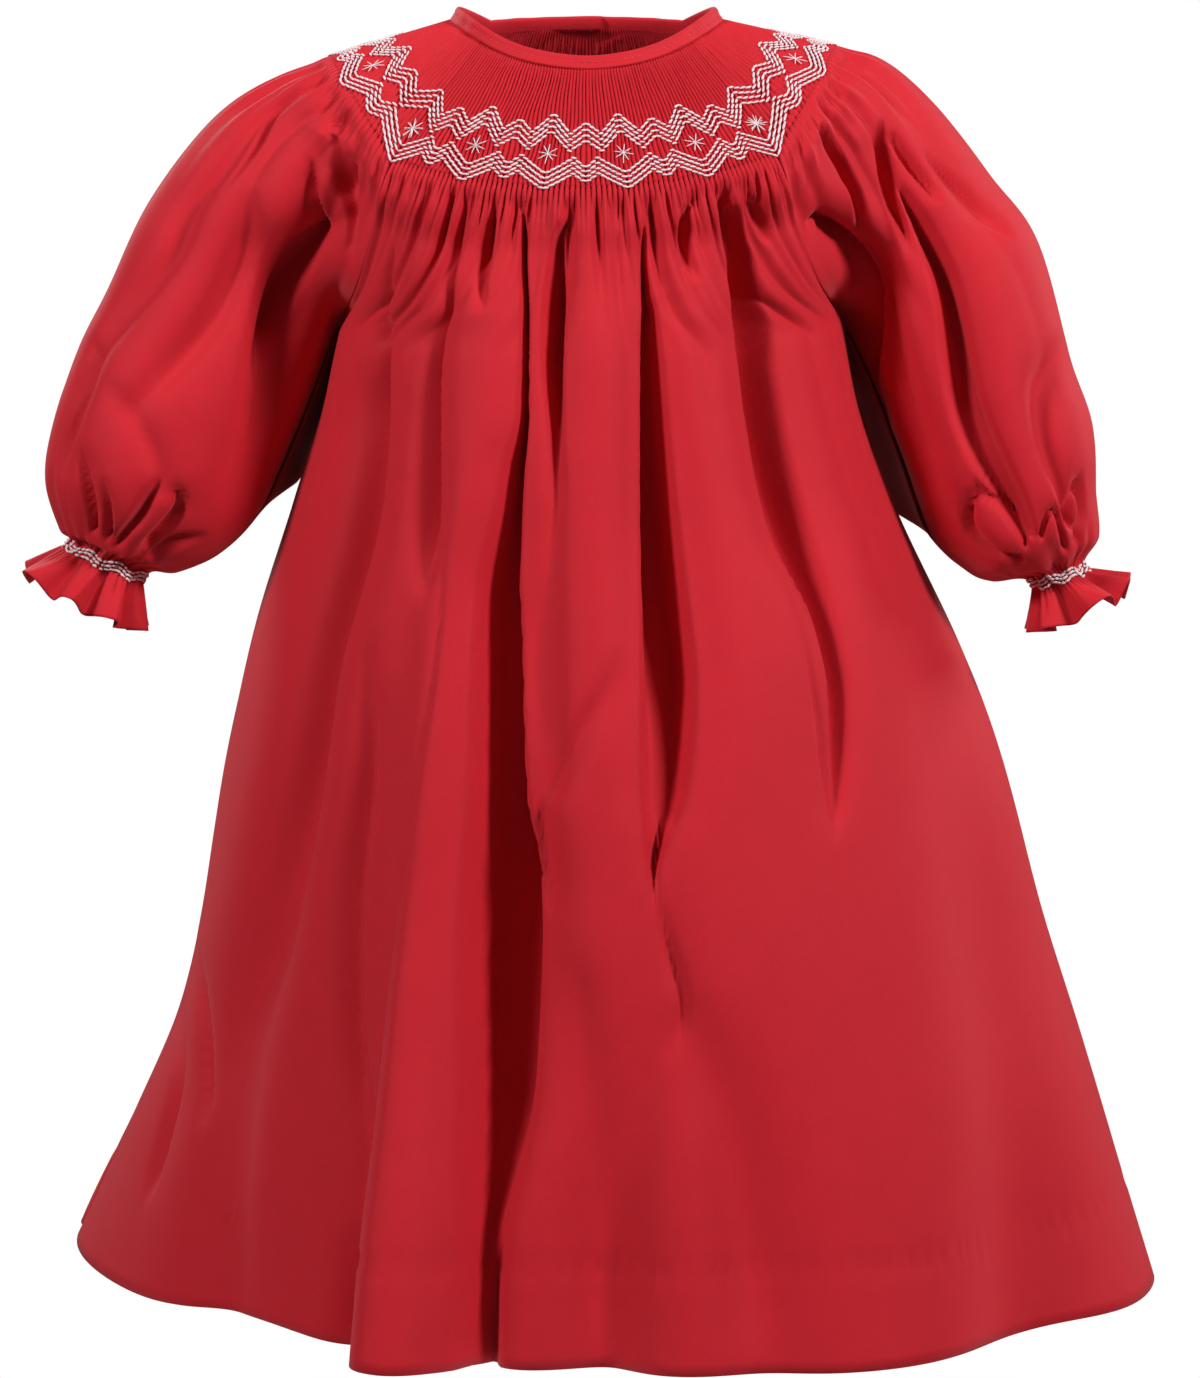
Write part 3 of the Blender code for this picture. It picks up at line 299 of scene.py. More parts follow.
RIGHT_SLEEVE_VALLEYS = (
    ("first valley", (85.5, -46, 0.7, 2, 0.9, 1.2), (90, -53, 1.6, 6, 0.9, 1.4), (94, -60, 2, 8, 0.9, 1.5),
     (99.9, -72, 1.6, 7, 0.9, 1.5), (102.4, -88, 1, 1, 1, 1.5)),
    ("second valley", (108.4, -44, 1, 3, 0.8, 1.2), (109.6, -51, 2.4, 8, 0.8, 1.6),
     (110.8, -60, 2.8, 9, 0.8, 1.8), (112.8, -73, 2.2, 8, 0.8, 1.6), (116.8, -93, 0.9, 0, 1, 1.5)),
    ("long valley", (116, -66, 0.8, 1, 0.9, 1.2), (119.5, -75, 1.6, 6, 0.9, 1.5),
     (123, -84, 2.6, 9, 0.9, 2), (128.4, -99, 3.6, 12, 0.9, 2.2), (131.5, -117, 4.2, 13, 0.9, 2.5),
     (133.6, -134, 4.6, 13, 1, 2.8), (137, -149, 5, 12, 1, 3), (144, -165, 5, 10, 1.2, 3),
     (153.7, -181, 4, 8, 1.4, 2.5), (161, -194, 2, 5, 1.2, 2)),
    ("third crease", (113.6, -48, 0.9, 3, 1, 1), (119.7, -58, 1.5, 6, 1, 1.2), (126, -68, 1.3, 4, 1, 1.2),
     (128, -72, 1, 0, 1, 1)),
    ("outer crease", (125, -55, 0.8, 1, 1.2, 1), (134, -65, 1.4, 3.5, 1.6, 1.2),
     (144, -76.5, 1.6, 3.5, 2, 1.5),
     (154, -86, 1.2, 0, 2, 2)),
    ("outer trough", (174, -124, 2, 0, 3, 3), (168, -134, 3.5, 4, 3.5, 3.5), (165.5, -143, 4, 5, 4, 4),
     (168, -160, 3.6, 5, 3.5, 4), (176, -180, 2, 4, 2, 2.5), (180, -192, 1.2, 3, 1.2, 1.2)),
    ("cuff loop", (141, -178, 0.9, 2, 0.9, 1.4), (137.4, -184.6, 1.3, 5, 0.9, 1.6),
     (139, -194, 1.4, 5.5, 0.9, 1.6),
     (148, -202, 1.3, 4.5, 1, 1.2), (158, -205, 1, 3, 1, 1)),
    ("cuff loop's edge", (141, -177, 0.9, 2, 1, 1.2), (152, -186, 1.4, 4.5, 1.2, 1),
     (160, -199, 1.2, 4, 1, 1)),
    ("second cuff loop", (166.4, -196, 0.9, 3, 0.9, 1), (168, -188, 1.1, 4, 0.9, 1),
     (171, -184.5, 1, 3, 1, 1),
     (174, -189, 1.1, 4, 1, 0.9), (176.3, -200, 1, 3, 1, 0.9)),
    ("third cuff loop", (179, -190, 0.9, 3, 0.8, 1), (182, -175, 1.3, 4.5, 0.9, 1.2),
     (185, -186, 1.2, 4, 1, 1),
     (182, -197, 1, 3, 1, 1)),
    ("inner edge", (84, -84, 1.2, 3, 2, 1), (88, -80, 1.8, 5, 2.5, 1), (93, -86, 2.6, 8, 4, 1),
     (98, -100, 3.4, 10, 5, 1), (100.5, -122, 3.6, 10, 5, 1.1), (103.5, -141, 3, 7, 5, 1.5),
     (111, -155, 2, 0, 4, 3)),
)
SLEEVE_BACK_VALLEYS = (
    ("back armpit valley", (100, -58, 1, 2, 1, 3), (101, -76, 2.5, 7, 1, 4), (103, -95, 3.4, 9, 1, 5),
     (108, -116, 3.2, 7, 1.5, 5), (116, -140, 3, 0, 3, 5)),
    ("back long valley", (112, -42, 1, 2, 0.9, 1.5), (117, -60, 2.2, 7, 0.9, 2), (124, -85, 3.4, 9, 1, 3),
     (132, -112, 4.2, 10, 1, 3), (142, -140, 4.4, 9, 1.4, 3), (153, -168, 4, 8, 1.6, 3),
     (163, -194, 2, 5, 1.2, 2)),
    ("back short valley", (100, -36, 0.9, 2, 1, 1), (107, -48, 1.6, 5, 1, 1.2), (113, -64, 1.4, 4, 1, 1.5),
     (117, -80, 1, 0, 1, 2)),
    ("back outer trough", (132, -52, 1, 1, 2, 2), (146, -75, 2.4, 4, 3, 3), (160, -104, 3.4, 5, 4, 4),
     (171, -136, 3.4, 5, 4, 3), (176, -165, 2.4, 4, 3, 2), (178, -192, 1.3, 3, 1.5, 1.5)),
    ("back cuff fold", (146, -172, 1, 0, 1, 2), (152, -185, 1.7, 4.5, 1, 2), (157, -201, 1.4, 4, 1, 1.5)),
    ("back second cuff fold", (168, -172, 1, 0, 1.2, 1.2), (170, -184, 1.4, 4, 1.2, 1.2),
     (171, -198, 1.2, 3.5, 1, 1)),
)


# ---------------------------------------------------------------- numbers into surfaces
def table_values(table, columns, names):
    places = [columns.index(name) for name in names]
    return np.array([[row[place] for place in places] for row in table], dtype=float)


def smooth(at, knots, values):
    """A smooth curve through values at knots, read at each place in at."""
    knots = np.asarray(knots, dtype=float)
    values = np.asarray(values, dtype=float)
    at = np.atleast_1d(np.asarray(at, dtype=float))
    slopes = np.gradient(values, knots, axis=0)
    span = np.clip(np.searchsorted(knots, at, side="right") - 1, 0, len(knots) - 2)
    length = knots[span + 1] - knots[span]
    along = (np.clip(at, knots[0], knots[-1]) - knots[span]) / length
    if values.ndim > 1:
        length = length[:, None]
        along = along[:, None]
    start, end = values[span], values[span + 1]
    return (start * (1 + 2 * along) * (1 - along) ** 2 + end * along ** 2 * (3 - 2 * along)
            + slopes[span] * length * along * (1 - along) ** 2
            - slopes[span + 1] * length * along ** 2 * (1 - along))


def unit(vectors):
    return vectors / np.maximum(np.linalg.norm(vectors, axis=-1, keepdims=True), 1e-12)


def bump(offset, width):
    """1 in the middle, dying away evenly on both sides."""
    return np.exp(-(offset / width) ** 2)


def ease(share):
    """0 below 0, 1 above 1, and a smooth rise between."""
    share = np.clip(share, 0, 1)
    return share * share * (3 - 2 * share)


def grid_normals(points, outward):
    """Normals of a grid of points; outward says which side the cloth's face is on."""
    normals = unit(np.cross(np.gradient(points, axis=0), np.gradient(points, axis=1)))
    return normals if np.sum(normals * outward) > 0 else -normals


def facing_at_middle(form, direction):
    """The way a sleeve's face looks, given on its middle line only, because it curves right round."""
    outward = np.zeros(form.shape)
    outward[:, form.shape[1] // 2] = direction
    return outward


def sleeve_form(table, rows, count):
    """A sleeve's smooth form: points round each section from the front seam to the back seam."""
    names = ("out_x", "out_z", "in_x", "in_z", "half_angle", "half_depth", "rise", "fore")
    values = smooth(rows, np.arange(len(table)), table_values(table, SLEEVE_COLUMNS, names))
    out_x, out_z, in_x, in_z, half_angle, half_depth, rise, fore = values.T
    half_angle = np.radians(np.minimum(half_angle, 180.0))
    reach = 1 - np.cos(half_angle)
    arm_x = (out_x - in_x) / reach
    arm_z = (out_z - in_z) / reach
    theta = np.linspace(-1.0, 1.0, count)[None, :] * half_angle[:, None]
    points = np.empty((len(values), count, 3))
    points[..., 0] = (out_x - arm_x)[:, None] + arm_x[:, None] * np.cos(theta)
    points[..., 1] = half_depth[:, None] * np.sin(theta) - fore[:, None]
    points[..., 2] = ((out_z - arm_z)[:, None] + arm_z[:, None] * np.cos(theta)
                      + rise[:, None] * np.sin(theta))
    return points, theta


def body_form(rows, across, side):
    """The smooth form of the front (side -1) or back (side 1); across is -1 at the left seam, 1 right."""
    rows = np.asarray(rows, dtype=float)
    names = ("front_y", "front_z") if side < 0 else ("back_y", "back_z")
    middle = np.vstack((table_values(YOKE, YOKE_COLUMNS, names), table_values(SKIRT, SKIRT_COLUMNS, names)))
    bend = np.append(table_values(YOKE, YOKE_COLUMNS, ("bend",))[:, 0], np.full(len(SKIRT), 90.0))
    knots = np.arange(len(bend))
    middle = np.column_stack((np.zeros(len(rows)), smooth(rows, knots, middle)))
    bend = np.radians(np.minimum(smooth(rows, knots, bend), 90.0))
    seams = []
    for table, names in ((LEFT_SLEEVE, ("left_x", "left_y", "left_z")),
                         (RIGHT_SLEEVE, ("right_x", "right_y", "right_z"))):
        armhole, _ = sleeve_form(table, np.minimum(rows, ARMPIT_ROW), 3)
        skirt = smooth(rows, knots[ARMPIT_ROW:], table_values(SKIRT, SKIRT_COLUMNS, names))
        seams.append(np.where((rows < ARMPIT_ROW)[:, None], armhole[:, 0 if side < 0 else -1], skirt))
    left, right = seams
    between = (left + right) / 2
    turn = bend[:, None] * np.asarray(across)[None, :]
    sideways = (np.sin(turn) / np.sin(bend)[:, None])[..., None]
    forward = ((np.cos(turn) - np.cos(bend)[:, None]) / (1 - np.cos(bend))[:, None])[..., None]
    return (between[:, None] + (right - left)[:, None] / 2 * sideways
            + (middle - between)[:, None] * forward)


def distance_across(points):
    steps = np.linalg.norm(np.diff(points, axis=1), axis=-1)
    return np.concatenate((np.zeros((len(points), 1)), np.cumsum(steps, axis=1)), axis=1)


def distance_down(points):
    steps = np.linalg.norm(np.diff(points, axis=0), axis=-1)
    return np.concatenate((np.zeros((1, points.shape[1])), np.cumsum(steps, axis=0)), axis=0)


# ---------------------------------------------------------------- folds
def fold_profile(offset, left_width, right_width, sharpness):
    """1 in the middle of a fold, dying away at its own rate on each side."""
    width = np.where(offset < 0, left_width, right_width)
    return np.exp(-np.abs(offset / width) ** sharpness)


def body_folds(points, rows, folds):
    """How far the main folds move the body's points out."""
    run = distance_across(points)
    heights = np.zeros(run.shape)
    ends = (FOLD_ROWS[0], FOLD_ROWS[-1])
    half = run.shape[1] // 2
    for _, fold_x, fold_height, left_widths, right_widths, sharpness in folds:
        middle_x = smooth(rows, FOLD_ROWS, fold_x)
        height = smooth(rows, FOLD_ROWS, fold_height)
        left_width = np.interp(rows, ends, left_widths)
        right_width = np.interp(rows, ends, right_widths)
        for index in range(len(rows)):
            line = np.maximum.accumulate(points[index, :, 0])
            middle = np.interp(middle_x[index], line, run[index])
            heights[index] += height[index] * fold_profile(
                run[index] - middle, left_width[index], right_width[index], sharpness)
    return heights


def sleeve_folds(points, theta, rows, folds):
    run = distance_across(points)
    heights = np.zeros(run.shape)
    for _, fold_angle, fold_height, width, sharpness in folds:
        angle = np.radians(smooth(rows, SLEEVE_FOLD_ROWS, fold_angle))
        height = smooth(rows, SLEEVE_FOLD_ROWS, fold_height)
        for index in range(len(rows)):
            middle = np.interp(angle[index], theta[index], run[index])
            heights[index] += height[index] * fold_profile(run[index] - middle, width, width, sharpness)
    return heights


def valleys(points, table):
    """How far the valleys of a table move a panel's points out (they are all negative)."""
    flat = points[..., (0, 2)] * 1000
    heights = np.zeros(points.shape[:2])
    for _, *path in table:
        path = np.array(path, dtype=float)
        knots = np.arange(len(path))
        fine = smooth(np.linspace(0, knots[-1], 6 * knots[-1] + 1), knots, path)
        nearest = np.full(heights.shape, 1e9)
        right = np.zeros(heights.shape, dtype=bool)
        values = np.zeros(heights.shape + (4,))
        for start, end in zip(fine, fine[1:]):
            span = end[:2] - start[:2]
            offset = flat - start[:2]
            share = np.clip((offset @ span) / max(span @ span, 1e-9), 0, 1)[..., None]
            gap = offset - share * span
            distance = np.hypot(gap[..., 0], gap[..., 1])
            closer = distance < nearest
            nearest = np.where(closer, distance, nearest)
            right = np.where(closer, span[0] * gap[..., 1] - span[1] * gap[..., 0] > 0, right)
            values = np.where(closer[..., None], start[2:] + (end[2:] - start[2:]) * share, values)
        half, depth, left_edge, right_edge = np.moveaxis(np.maximum(values, 0.0), -1, 0)
        edge = np.maximum(np.where(right, right_edge, left_edge), LEAST_EDGE)
        inside = 0.5 + 0.5 * np.tanh(VALLEY_FALL * (half - nearest) / edge)
        shoulder = bump(np.maximum(nearest - half, 0), SHOULDER_REACH + 0.8 * half)
        # A shallow valley is deepened more than a deep one.
        deep = depth * (1.15 + 0.75 * np.exp(-depth / 6.0))
        heights -= deep * ((1 - SHOULDER_SHARE) * inside + SHOULDER_SHARE * shoulder)
    return heights / 1000


def gathers(rows, count, spacing_count, seed, lengths, depths, start_row=1.0, width=0.24):
    """Small gathers that leave the yoke's edge, each with its own place, depth and length in rows."""
    dice = np.random.RandomState(seed)
    place = np.linspace(0, spacing_count, count)
    heights = np.zeros((len(rows), count))
    for line in range(spacing_count + 1):
        middle = line + dice.uniform(-0.30, 0.30)
        length = dice.uniform(*lengths)
        depth = dice.uniform(*depths)
        drift = dice.uniform(-0.12, 0.12)
        below = np.maximum(rows - start_row, 0.0)
        fade = np.exp(-(below / length) ** 1.6) * np.clip((rows - start_row + 0.25) / 0.5, 0, 1)
        offset = place[None, :] - middle - drift * below[:, None]
        spread = width * (1 + 0.5 * np.minimum(below / length, 1.5))[:, None]
        heights -= (depth * fade)[:, None] * np.exp(-(np.abs(offset) / spread) ** 1.6)
    return heights


def pleat_wave(place):
    """Round ridges with narrow valleys between, one for each whole number of place."""
    return np.abs(np.sin(np.pi * place)) ** 0.75


def pleat_depth(rows):
    """How deep the smocking pleats are at each row."""
    return np.interp(rows, (0.0, 0.12, 0.5, 0.95, 1.15, 1.6, 2.1),
                     (0.0006, 0.0013, 0.0014, 0.0017, 0.0013, 0.0003, 0.0))


def soft_waves(points, seed, height):
    """Broad unevenness, so that no stretch of cloth is a perfect curve."""
    dice = np.random.RandomState(seed)
    heights = np.zeros(points.shape[:2])
    for _ in range(7):
        direction = unit(dice.normal(size=3) * np.array((1.0, 1.0, 0.55)))
        length = dice.uniform(0.06, 0.16)
        heights += np.sin(2 * np.pi * (points @ direction) / length + dice.uniform(0, 6.28)) * length
    return heights * height / 0.29


def seam_roll(points):
    """The cloth rolls in a little beside its two seams."""
    run = distance_across(points)
    return (-bump(run, ROLL_REACH) - bump(run[:, -1:] - run, ROLL_REACH)) * ROLL_DEPTH


def below_join(rows):
    """0 down to the yoke's edge, rising smoothly to 1 just below it."""
    return ease((rows - 1.0) / 0.16)[:, None]


def fade_at_seams(count):
    """1 over most of a panel's width, falling to 0 at its two seams."""
    return (1 - np.abs(np.linspace(-1.0, 1.0, count)) ** 26)[None, :]


# ---------------------------------------------------------------- meshes
def link(thing):
    bpy.context.scene.collection.objects.link(thing)
    return thing


def mesh_object(name, vertices, faces, material, uv=None):
    """An object from arrays; faces are rows of four corners, or three with the last repeated."""
    vertices = np.asarray(vertices, dtype=np.float32)
    faces = np.asarray(faces)
    sizes = np.where(faces[:, 3] == faces[:, 2], 3, 4)
    keep = np.ones(faces.shape, dtype=bool)
    keep[:, 3] = sizes == 4
    corners = faces[keep]
    mesh = bpy.data.meshes.new(name)
    mesh.vertices.add(len(vertices))
    mesh.vertices.foreach_set("co", vertices.ravel())
    mesh.loops.add(len(corners))
    mesh.loops.foreach_set("vertex_index", corners.astype(np.int32))
    mesh.polygons.add(len(faces))
    starts = np.concatenate(([0], np.cumsum(sizes)[:-1]))
    mesh.polygons.foreach_set("loop_start", starts.astype(np.int32))
    mesh.update(calc_edges=True)
    if uv is not None:
        layer = mesh.uv_layers.new(name="cloth")
        layer.data.foreach_set("uv", np.asarray(uv, dtype=np.float32)[corners].ravel())
    mesh.validate()
    mesh.shade_smooth()
    mesh.materials.append(material)
    return link(bpy.data.objects.new(name, mesh))


def shell(name, points, normals, thickness, material, width):
    """A thin closed shell of cloth whose face is the grid of points."""
    row_count, column_count = points.shape[:2]
    thickness = np.broadcast_to(np.asarray(thickness, dtype=float), points.shape[:2])
    inner = points - normals * thickness[..., None]
    size = row_count * column_count
    index = np.arange(size).reshape(row_count, column_count)
    a, b = index[:-1, :-1].ravel(), index[:-1, 1:].ravel()
    c, d = index[1:, 1:].ravel(), index[1:, :-1].ravel()
    outer_faces = np.column_stack((a, b, c, d))
    corner = points.reshape(-1, 3)
    facing = np.cross(corner[c] - corner[a], corner[d] - corner[b])
    inside_out = np.sum(facing * normals.reshape(-1, 3)[a]) < 0
    if inside_out:
        outer_faces = outer_faces[:, ::-1]
    inner_faces = outer_faces[:, ::-1] + size
    rims = []
    for line, flip in ((index[0], False), (index[-1], True), (index[:, 0], True), (index[:, -1], False)):
        start, end = (line[1:], line[:-1]) if flip else (line[:-1], line[1:])
        rims.append(np.column_stack((start, start + size, end + size, end)))
    rims = np.vstack(rims)
    if inside_out:
        rims = rims[:, ::-1]
    across = np.linspace(0, width, column_count)[None, :] + np.zeros((row_count, 1))
    down = distance_down(points)[:, column_count // 2][:, None] + np.zeros((1, column_count))
    uv = np.column_stack((across.ravel(), down.ravel()))
    return mesh_object(name, np.vstack((points.reshape(-1, 3), inner.reshape(-1, 3))),
                       np.vstack((outer_faces, inner_faces, rims)), material, np.vstack((uv, uv)))


# ---------------------------------------------------------------- materials
def add_node(tree, kind, x, y, **values):
    node = tree.nodes.new(kind)
    node.location = (x, y)
    for name, value in values.items():
        if hasattr(node, name):
            setattr(node, name, value)
        else:
            node.inputs[name.replace("_", " ")].default_value = value
    return node


def new_material(name, sockets):
    """A material, its tree and its shader, with values on the shader's own sockets."""
    material = bpy.data.materials.new(name)
    material.use_nodes = True
    shader = material.node_tree.nodes["Principled BSDF"]
    for socket, value in sockets.items():
        shader.inputs[socket].default_value = value
    return material, material.node_tree, shader


def add_noise(tree, place, x, y, **values):
    noise = add_node(tree, "ShaderNodeTexNoise", x, y, **values)
    tree.links.new(place.outputs["Object"], noise.inputs["Vector"])
    return noise


def add_ramp(tree, noise, x, y, stops):
    """Colours from one stop to the other as the noise rises."""
    ramp = add_node(tree, "ShaderNodeValToRGB", x, y)
    for element, (position, colour) in zip(ramp.color_ramp.elements, stops):
        element.position = position
        element.color = colour
    tree.links.new(noise.outputs["Fac"], ramp.inputs["Fac"])
    return ramp


def add_relief(tree, shader, height, x, y, **values):
    relief = add_node(tree, "ShaderNodeBump", x, y, **values)
    tree.links.new(height, relief.inputs["Height"])
    tree.links.new(relief.outputs["Normal"], shader.inputs["Normal"])


def red_cotton():
    """Plain-woven cotton: fine crossing threads, a little slub and unevenness, and a faint pink sheen."""
    material, tree, shader = new_material("red_cotton", {
        "Roughness": 0.72, "Specular IOR Level": 0.20, "Sheen Weight": 0.12, "Sheen Roughness": 0.45,
        "Sheen Tint": (1.0, 0.55, 0.60, 1.0)})
    place = add_node(tree, "ShaderNodeTexCoord", -1500, 0)
    weave = add_node(tree, "ShaderNodeMath", -820, 150, operation="MULTIPLY")
    # Thread relief: warp and weft waves, both on the cloth's own measure.
    for index, (direction, y) in enumerate((("X", 300), ("Y", 0))):
        wave = add_node(tree, "ShaderNodeTexWave", -1050, y, wave_type="BANDS", bands_direction=direction,
                        wave_profile="SIN", Scale=800.0, Distortion=0.6, Detail=1.0, Detail_Scale=1.0)
        tree.links.new(place.outputs["UV"], wave.inputs["Vector"])
        tree.links.new(wave.outputs["Fac"], weave.inputs[index])
    slub = add_noise(tree, place, -1050, -300, Scale=90.0, Detail=5.0, Roughness=0.6)
    fine = add_noise(tree, place, -1050, -550, Scale=1400.0, Detail=3.0)
    colour = add_ramp(tree, slub, -600, -300, ((0.30, (0.560, 0.0110, 0.0215, 1)),
                                               (0.72, (0.590, 0.0120, 0.0235, 1))))
    speck = add_node(tree, "ShaderNodeMix", -350, -200, data_type="RGBA", blend_type="MULTIPLY")
    speck.inputs["Factor"].default_value = 0.16
    tree.links.new(colour.outputs["Color"], speck.inputs["A"])
    tree.links.new(fine.outputs["Fac"], speck.inputs["B"])
    tree.links.new(speck.outputs["Result"], shader.inputs["Base Color"])
    height = add_node(tree, "ShaderNodeMath", -600, 150, operation="MULTIPLY_ADD")
    height.inputs[1].default_value = 0.6
    tree.links.new(weave.outputs["Value"], height.inputs[0])
    tree.links.new(fine.outputs["Fac"], height.inputs[2])
    add_relief(tree, shader, height.outputs["Value"], -350, 150, Strength=0.35, Distance=0.00012)
    return material


def thread(name, dark, light, roughness, sheen):
    """Stranded embroidery thread: twisted strands and a slight lustre."""
    material, tree, shader = new_material(name, {"Roughness": roughness, "Sheen Weight": sheen})
    place = add_node(tree, "ShaderNodeTexCoord", -1000, 0)
    strands = add_noise(tree, place, -800, 0, Scale=2600.0, Detail=2.0)
    colour = add_ramp(tree, strands, -560, 0, ((0.30, dark), (0.62, light)))
    tree.links.new(colour.outputs["Color"], shader.inputs["Base Color"])
    add_relief(tree, shader, strands.outputs["Fac"], -300, -200, Strength=0.5, Distance=0.0002)
    return material


def button_finish():
    """Off-white, smooth and a little clouded."""
    material, tree, shader = new_material("button", {"Roughness": 0.22, "Coat Weight": 0.3})
    place = add_node(tree, "ShaderNodeTexCoord", -900, 0)
    cloud = add_noise(tree, place, -700, 0, Scale=260.0)
    colour = add_ramp(tree, cloud, -480, 0, ((0.0, (0.80, 0.77, 0.72, 1)), (1.0, (0.88, 0.86, 0.82, 1))))
    tree.links.new(colour.outputs["Color"], shader.inputs["Base Color"])
    return material


COTTON = red_cotton()
WHITE_THREAD = thread("smocking_thread", (0.60, 0.40, 0.43, 1), (0.86, 0.74, 0.76, 1), 0.55, 0.3)
RED_THREAD = thread("red_thread", (0.36, 0.010, 0.018, 1), (0.60, 0.022, 0.036, 1), 0.55, 0.2)
BUTTON = button_finish()

# ---------------------------------------------------------------- panels
SHARED_ROWS = np.concatenate((np.linspace(JOIN_ROW, 2.0, 32), np.linspace(2.0, 4.0, 31)[1:]))
SKIRT_ROWS = np.concatenate((SHARED_ROWS, np.linspace(4.0, 12.0, 85)[1:]))
SLEEVE_ROWS = np.concatenate((SHARED_ROWS, np.linspace(4.0, 9.0, 50)[1:], np.linspace(9.0, 11.0, 35)[1:]))
YOKE_ROWS = np.linspace(0.0, JOIN_ROW, 37)
ARMPIT_INDEX = len(SHARED_ROWS) - 1

FRONT_PLEATS = FRONT_REPEATS * PLEATS_EACH_REPEAT
SLEEVE_PLEATS = SLEEVE_REPEATS * PLEATS_EACH_REPEAT
BACK_PLEATS = BACK_REPEATS * PLEATS_EACH_REPEAT


def place_pleats(rows, count, pleats):
    """The height of the smocking pleats at each point of a panel."""
    place = np.linspace(0, pleats, count)
    return pleat_depth(rows)[:, None] * (pleat_wave(place)[None, :] - 1.0)


def skirt_panel(side, count, folds, valley_table, fine_gathers, broad_gathers, wave_seed):
    """A body panel's smooth form, and how far its folds, valleys and gathers move it out."""
    form = body_form(SKIRT_ROWS, np.linspace(-1, 1, count), side)
    heights = body_folds(form, SKIRT_ROWS, folds)
    heights += valleys(form, valley_table)
    heights += gathers(SKIRT_ROWS, count, *fine_gathers, (0.45, 1.7), (0.0015, 0.0044))
    heights += gathers(SKIRT_ROWS, count, *broad_gathers, (1.2, 3.6), (0.0018, 0.0052), width=0.17)
    heights += soft_waves(form, wave_seed, 0.0012) * np.clip(SKIRT_ROWS - 1.5, 0, 1)[:, None]
    heights *= fade_at_seams(count) * below_join(SKIRT_ROWS)
    return form, heights


def hem_rise(points):
    """The front hem climbs towards both sides."""
    low = np.clip((SKIRT_ROWS - 10.0) / 2.0, 0, 1)[:, None] ** 2
    return low * sum(height * bump(points[..., 0] - middle, width) for middle, width, height in HEM_CLIMBS)


def make_front():
    count = FRONT_PLEATS * 4 + 1
    form, heights = skirt_panel(-1, count, FRONT_FOLDS, FRONT_VALLEYS, (38, 3), (17, 8), 21)
    heights += place_pleats(SKIRT_ROWS, count, FRONT_PLEATS) + seam_roll(form)
    points = form + grid_normals(form, FRONT_OUT) * heights[..., None]
    points[..., 2] += hem_rise(points)
    return points


def make_back():
    """The whole back, with a shallow line down its middle, where it is cut in two."""
    count = BACK_PLEATS * 3 + 1
    form, heights = skirt_panel(1, count, BACK_FOLDS, BACK_VALLEYS, (36, 13), (16, 18), 22)
    run = distance_across(form)
    heights -= 0.0006 * bump(run - run[:, count // 2][:, None], ROLL_REACH)
    heights += place_pleats(SKIRT_ROWS, count, BACK_PLEATS) + seam_roll(form)
    return form + grid_normals(form, BACK_OUT) * heights[..., None]


def frill_flutes(theta, rows, seed, count):
    """The frill below the wrist: uneven flutes that deepen towards its edge."""
    dice = np.random.RandomState(seed)
    below = np.clip(rows - WRIST_ROW, 0, 1)
    turn = theta / (2 * np.pi) * count
    turn = turn + 0.22 * np.sin(theta * 2 + dice.uniform(0, 6))
    turn = turn + 0.12 * np.sin(theta * 3 + dice.uniform(0, 6))
    flute = np.sin(2 * np.pi * turn) + 0.10 * np.sin(2 * np.pi * turn * 2 + 1.0) - 0.35
    small = np.sin(2 * np.pi * turn * 2 + 1.0)
    depth = FRILL_DEPTH * below ** 0.8
    return depth[:, None] * flute + (0.0008 * below * (1 - below) * 4)[:, None] * small


def make_sleeve(side, table, folds, front_valleys, seed):
    """A sleeve's points, and the way its face looks."""
    count = SLEEVE_PLEATS * 3 + 1
    form, theta = sleeve_form(table, SLEEVE_ROWS, count)
    rows = SLEEVE_ROWS
    heights = sleeve_folds(form, theta, rows, folds) * np.clip(WRIST_ROW - rows, 0, 1)[:, None]
    heights += valleys(form, front_valleys) * np.clip(-theta / 0.3, 0, 1)
    heights += valleys(form * np.array((side, 1, 1)), SLEEVE_BACK_VALLEYS) * np.clip(theta / 0.3, 0, 1)
    heights += gathers(rows, count, 30, seed, (0.45, 1.8), (0.0015, 0.0044))
    heights += gathers(rows, count, 13, seed + 1, (1.4, 4.2), (0.0020, 0.0056), width=0.17)
    open_cloth = np.clip(np.minimum(rows - 1.5, 9.0 - rows), 0, 1)[:, None]
    heights += soft_waves(form, seed + 2, 0.0012) * open_cloth
    # Gathers up from the wrist, and the close pleats under the wrist's smocking.
    up = WRIST_ROW - rows
    heights += gathers(up, count, 22, seed + 3, (0.5, 2.0), (0.0008, 0.0026), start_row=0.0, width=0.24)
    heights += gathers(up, count, 11, seed + 4, (1.0, 2.6), (0.0006, 0.0030), start_row=0.1, width=0.2)
    heights *= fade_at_seams(count) * below_join(rows)
    wrist = bump(rows - WRIST_ROW, 0.55)
    heights += (0.0009 * wrist)[:, None] * (pleat_wave(np.linspace(0, WRIST_PLEATS, count))[None, :] - 1.0)
    heights += frill_flutes(theta, rows, seed + 5, 8)
    heights += place_pleats(rows, count, SLEEVE_PLEATS) + seam_roll(form)
    outward = facing_at_middle(form, (side, 0, 0))
    points = form + grid_normals(form, outward) * heights[..., None]
    return tuck_behind(points, theta, side), outward


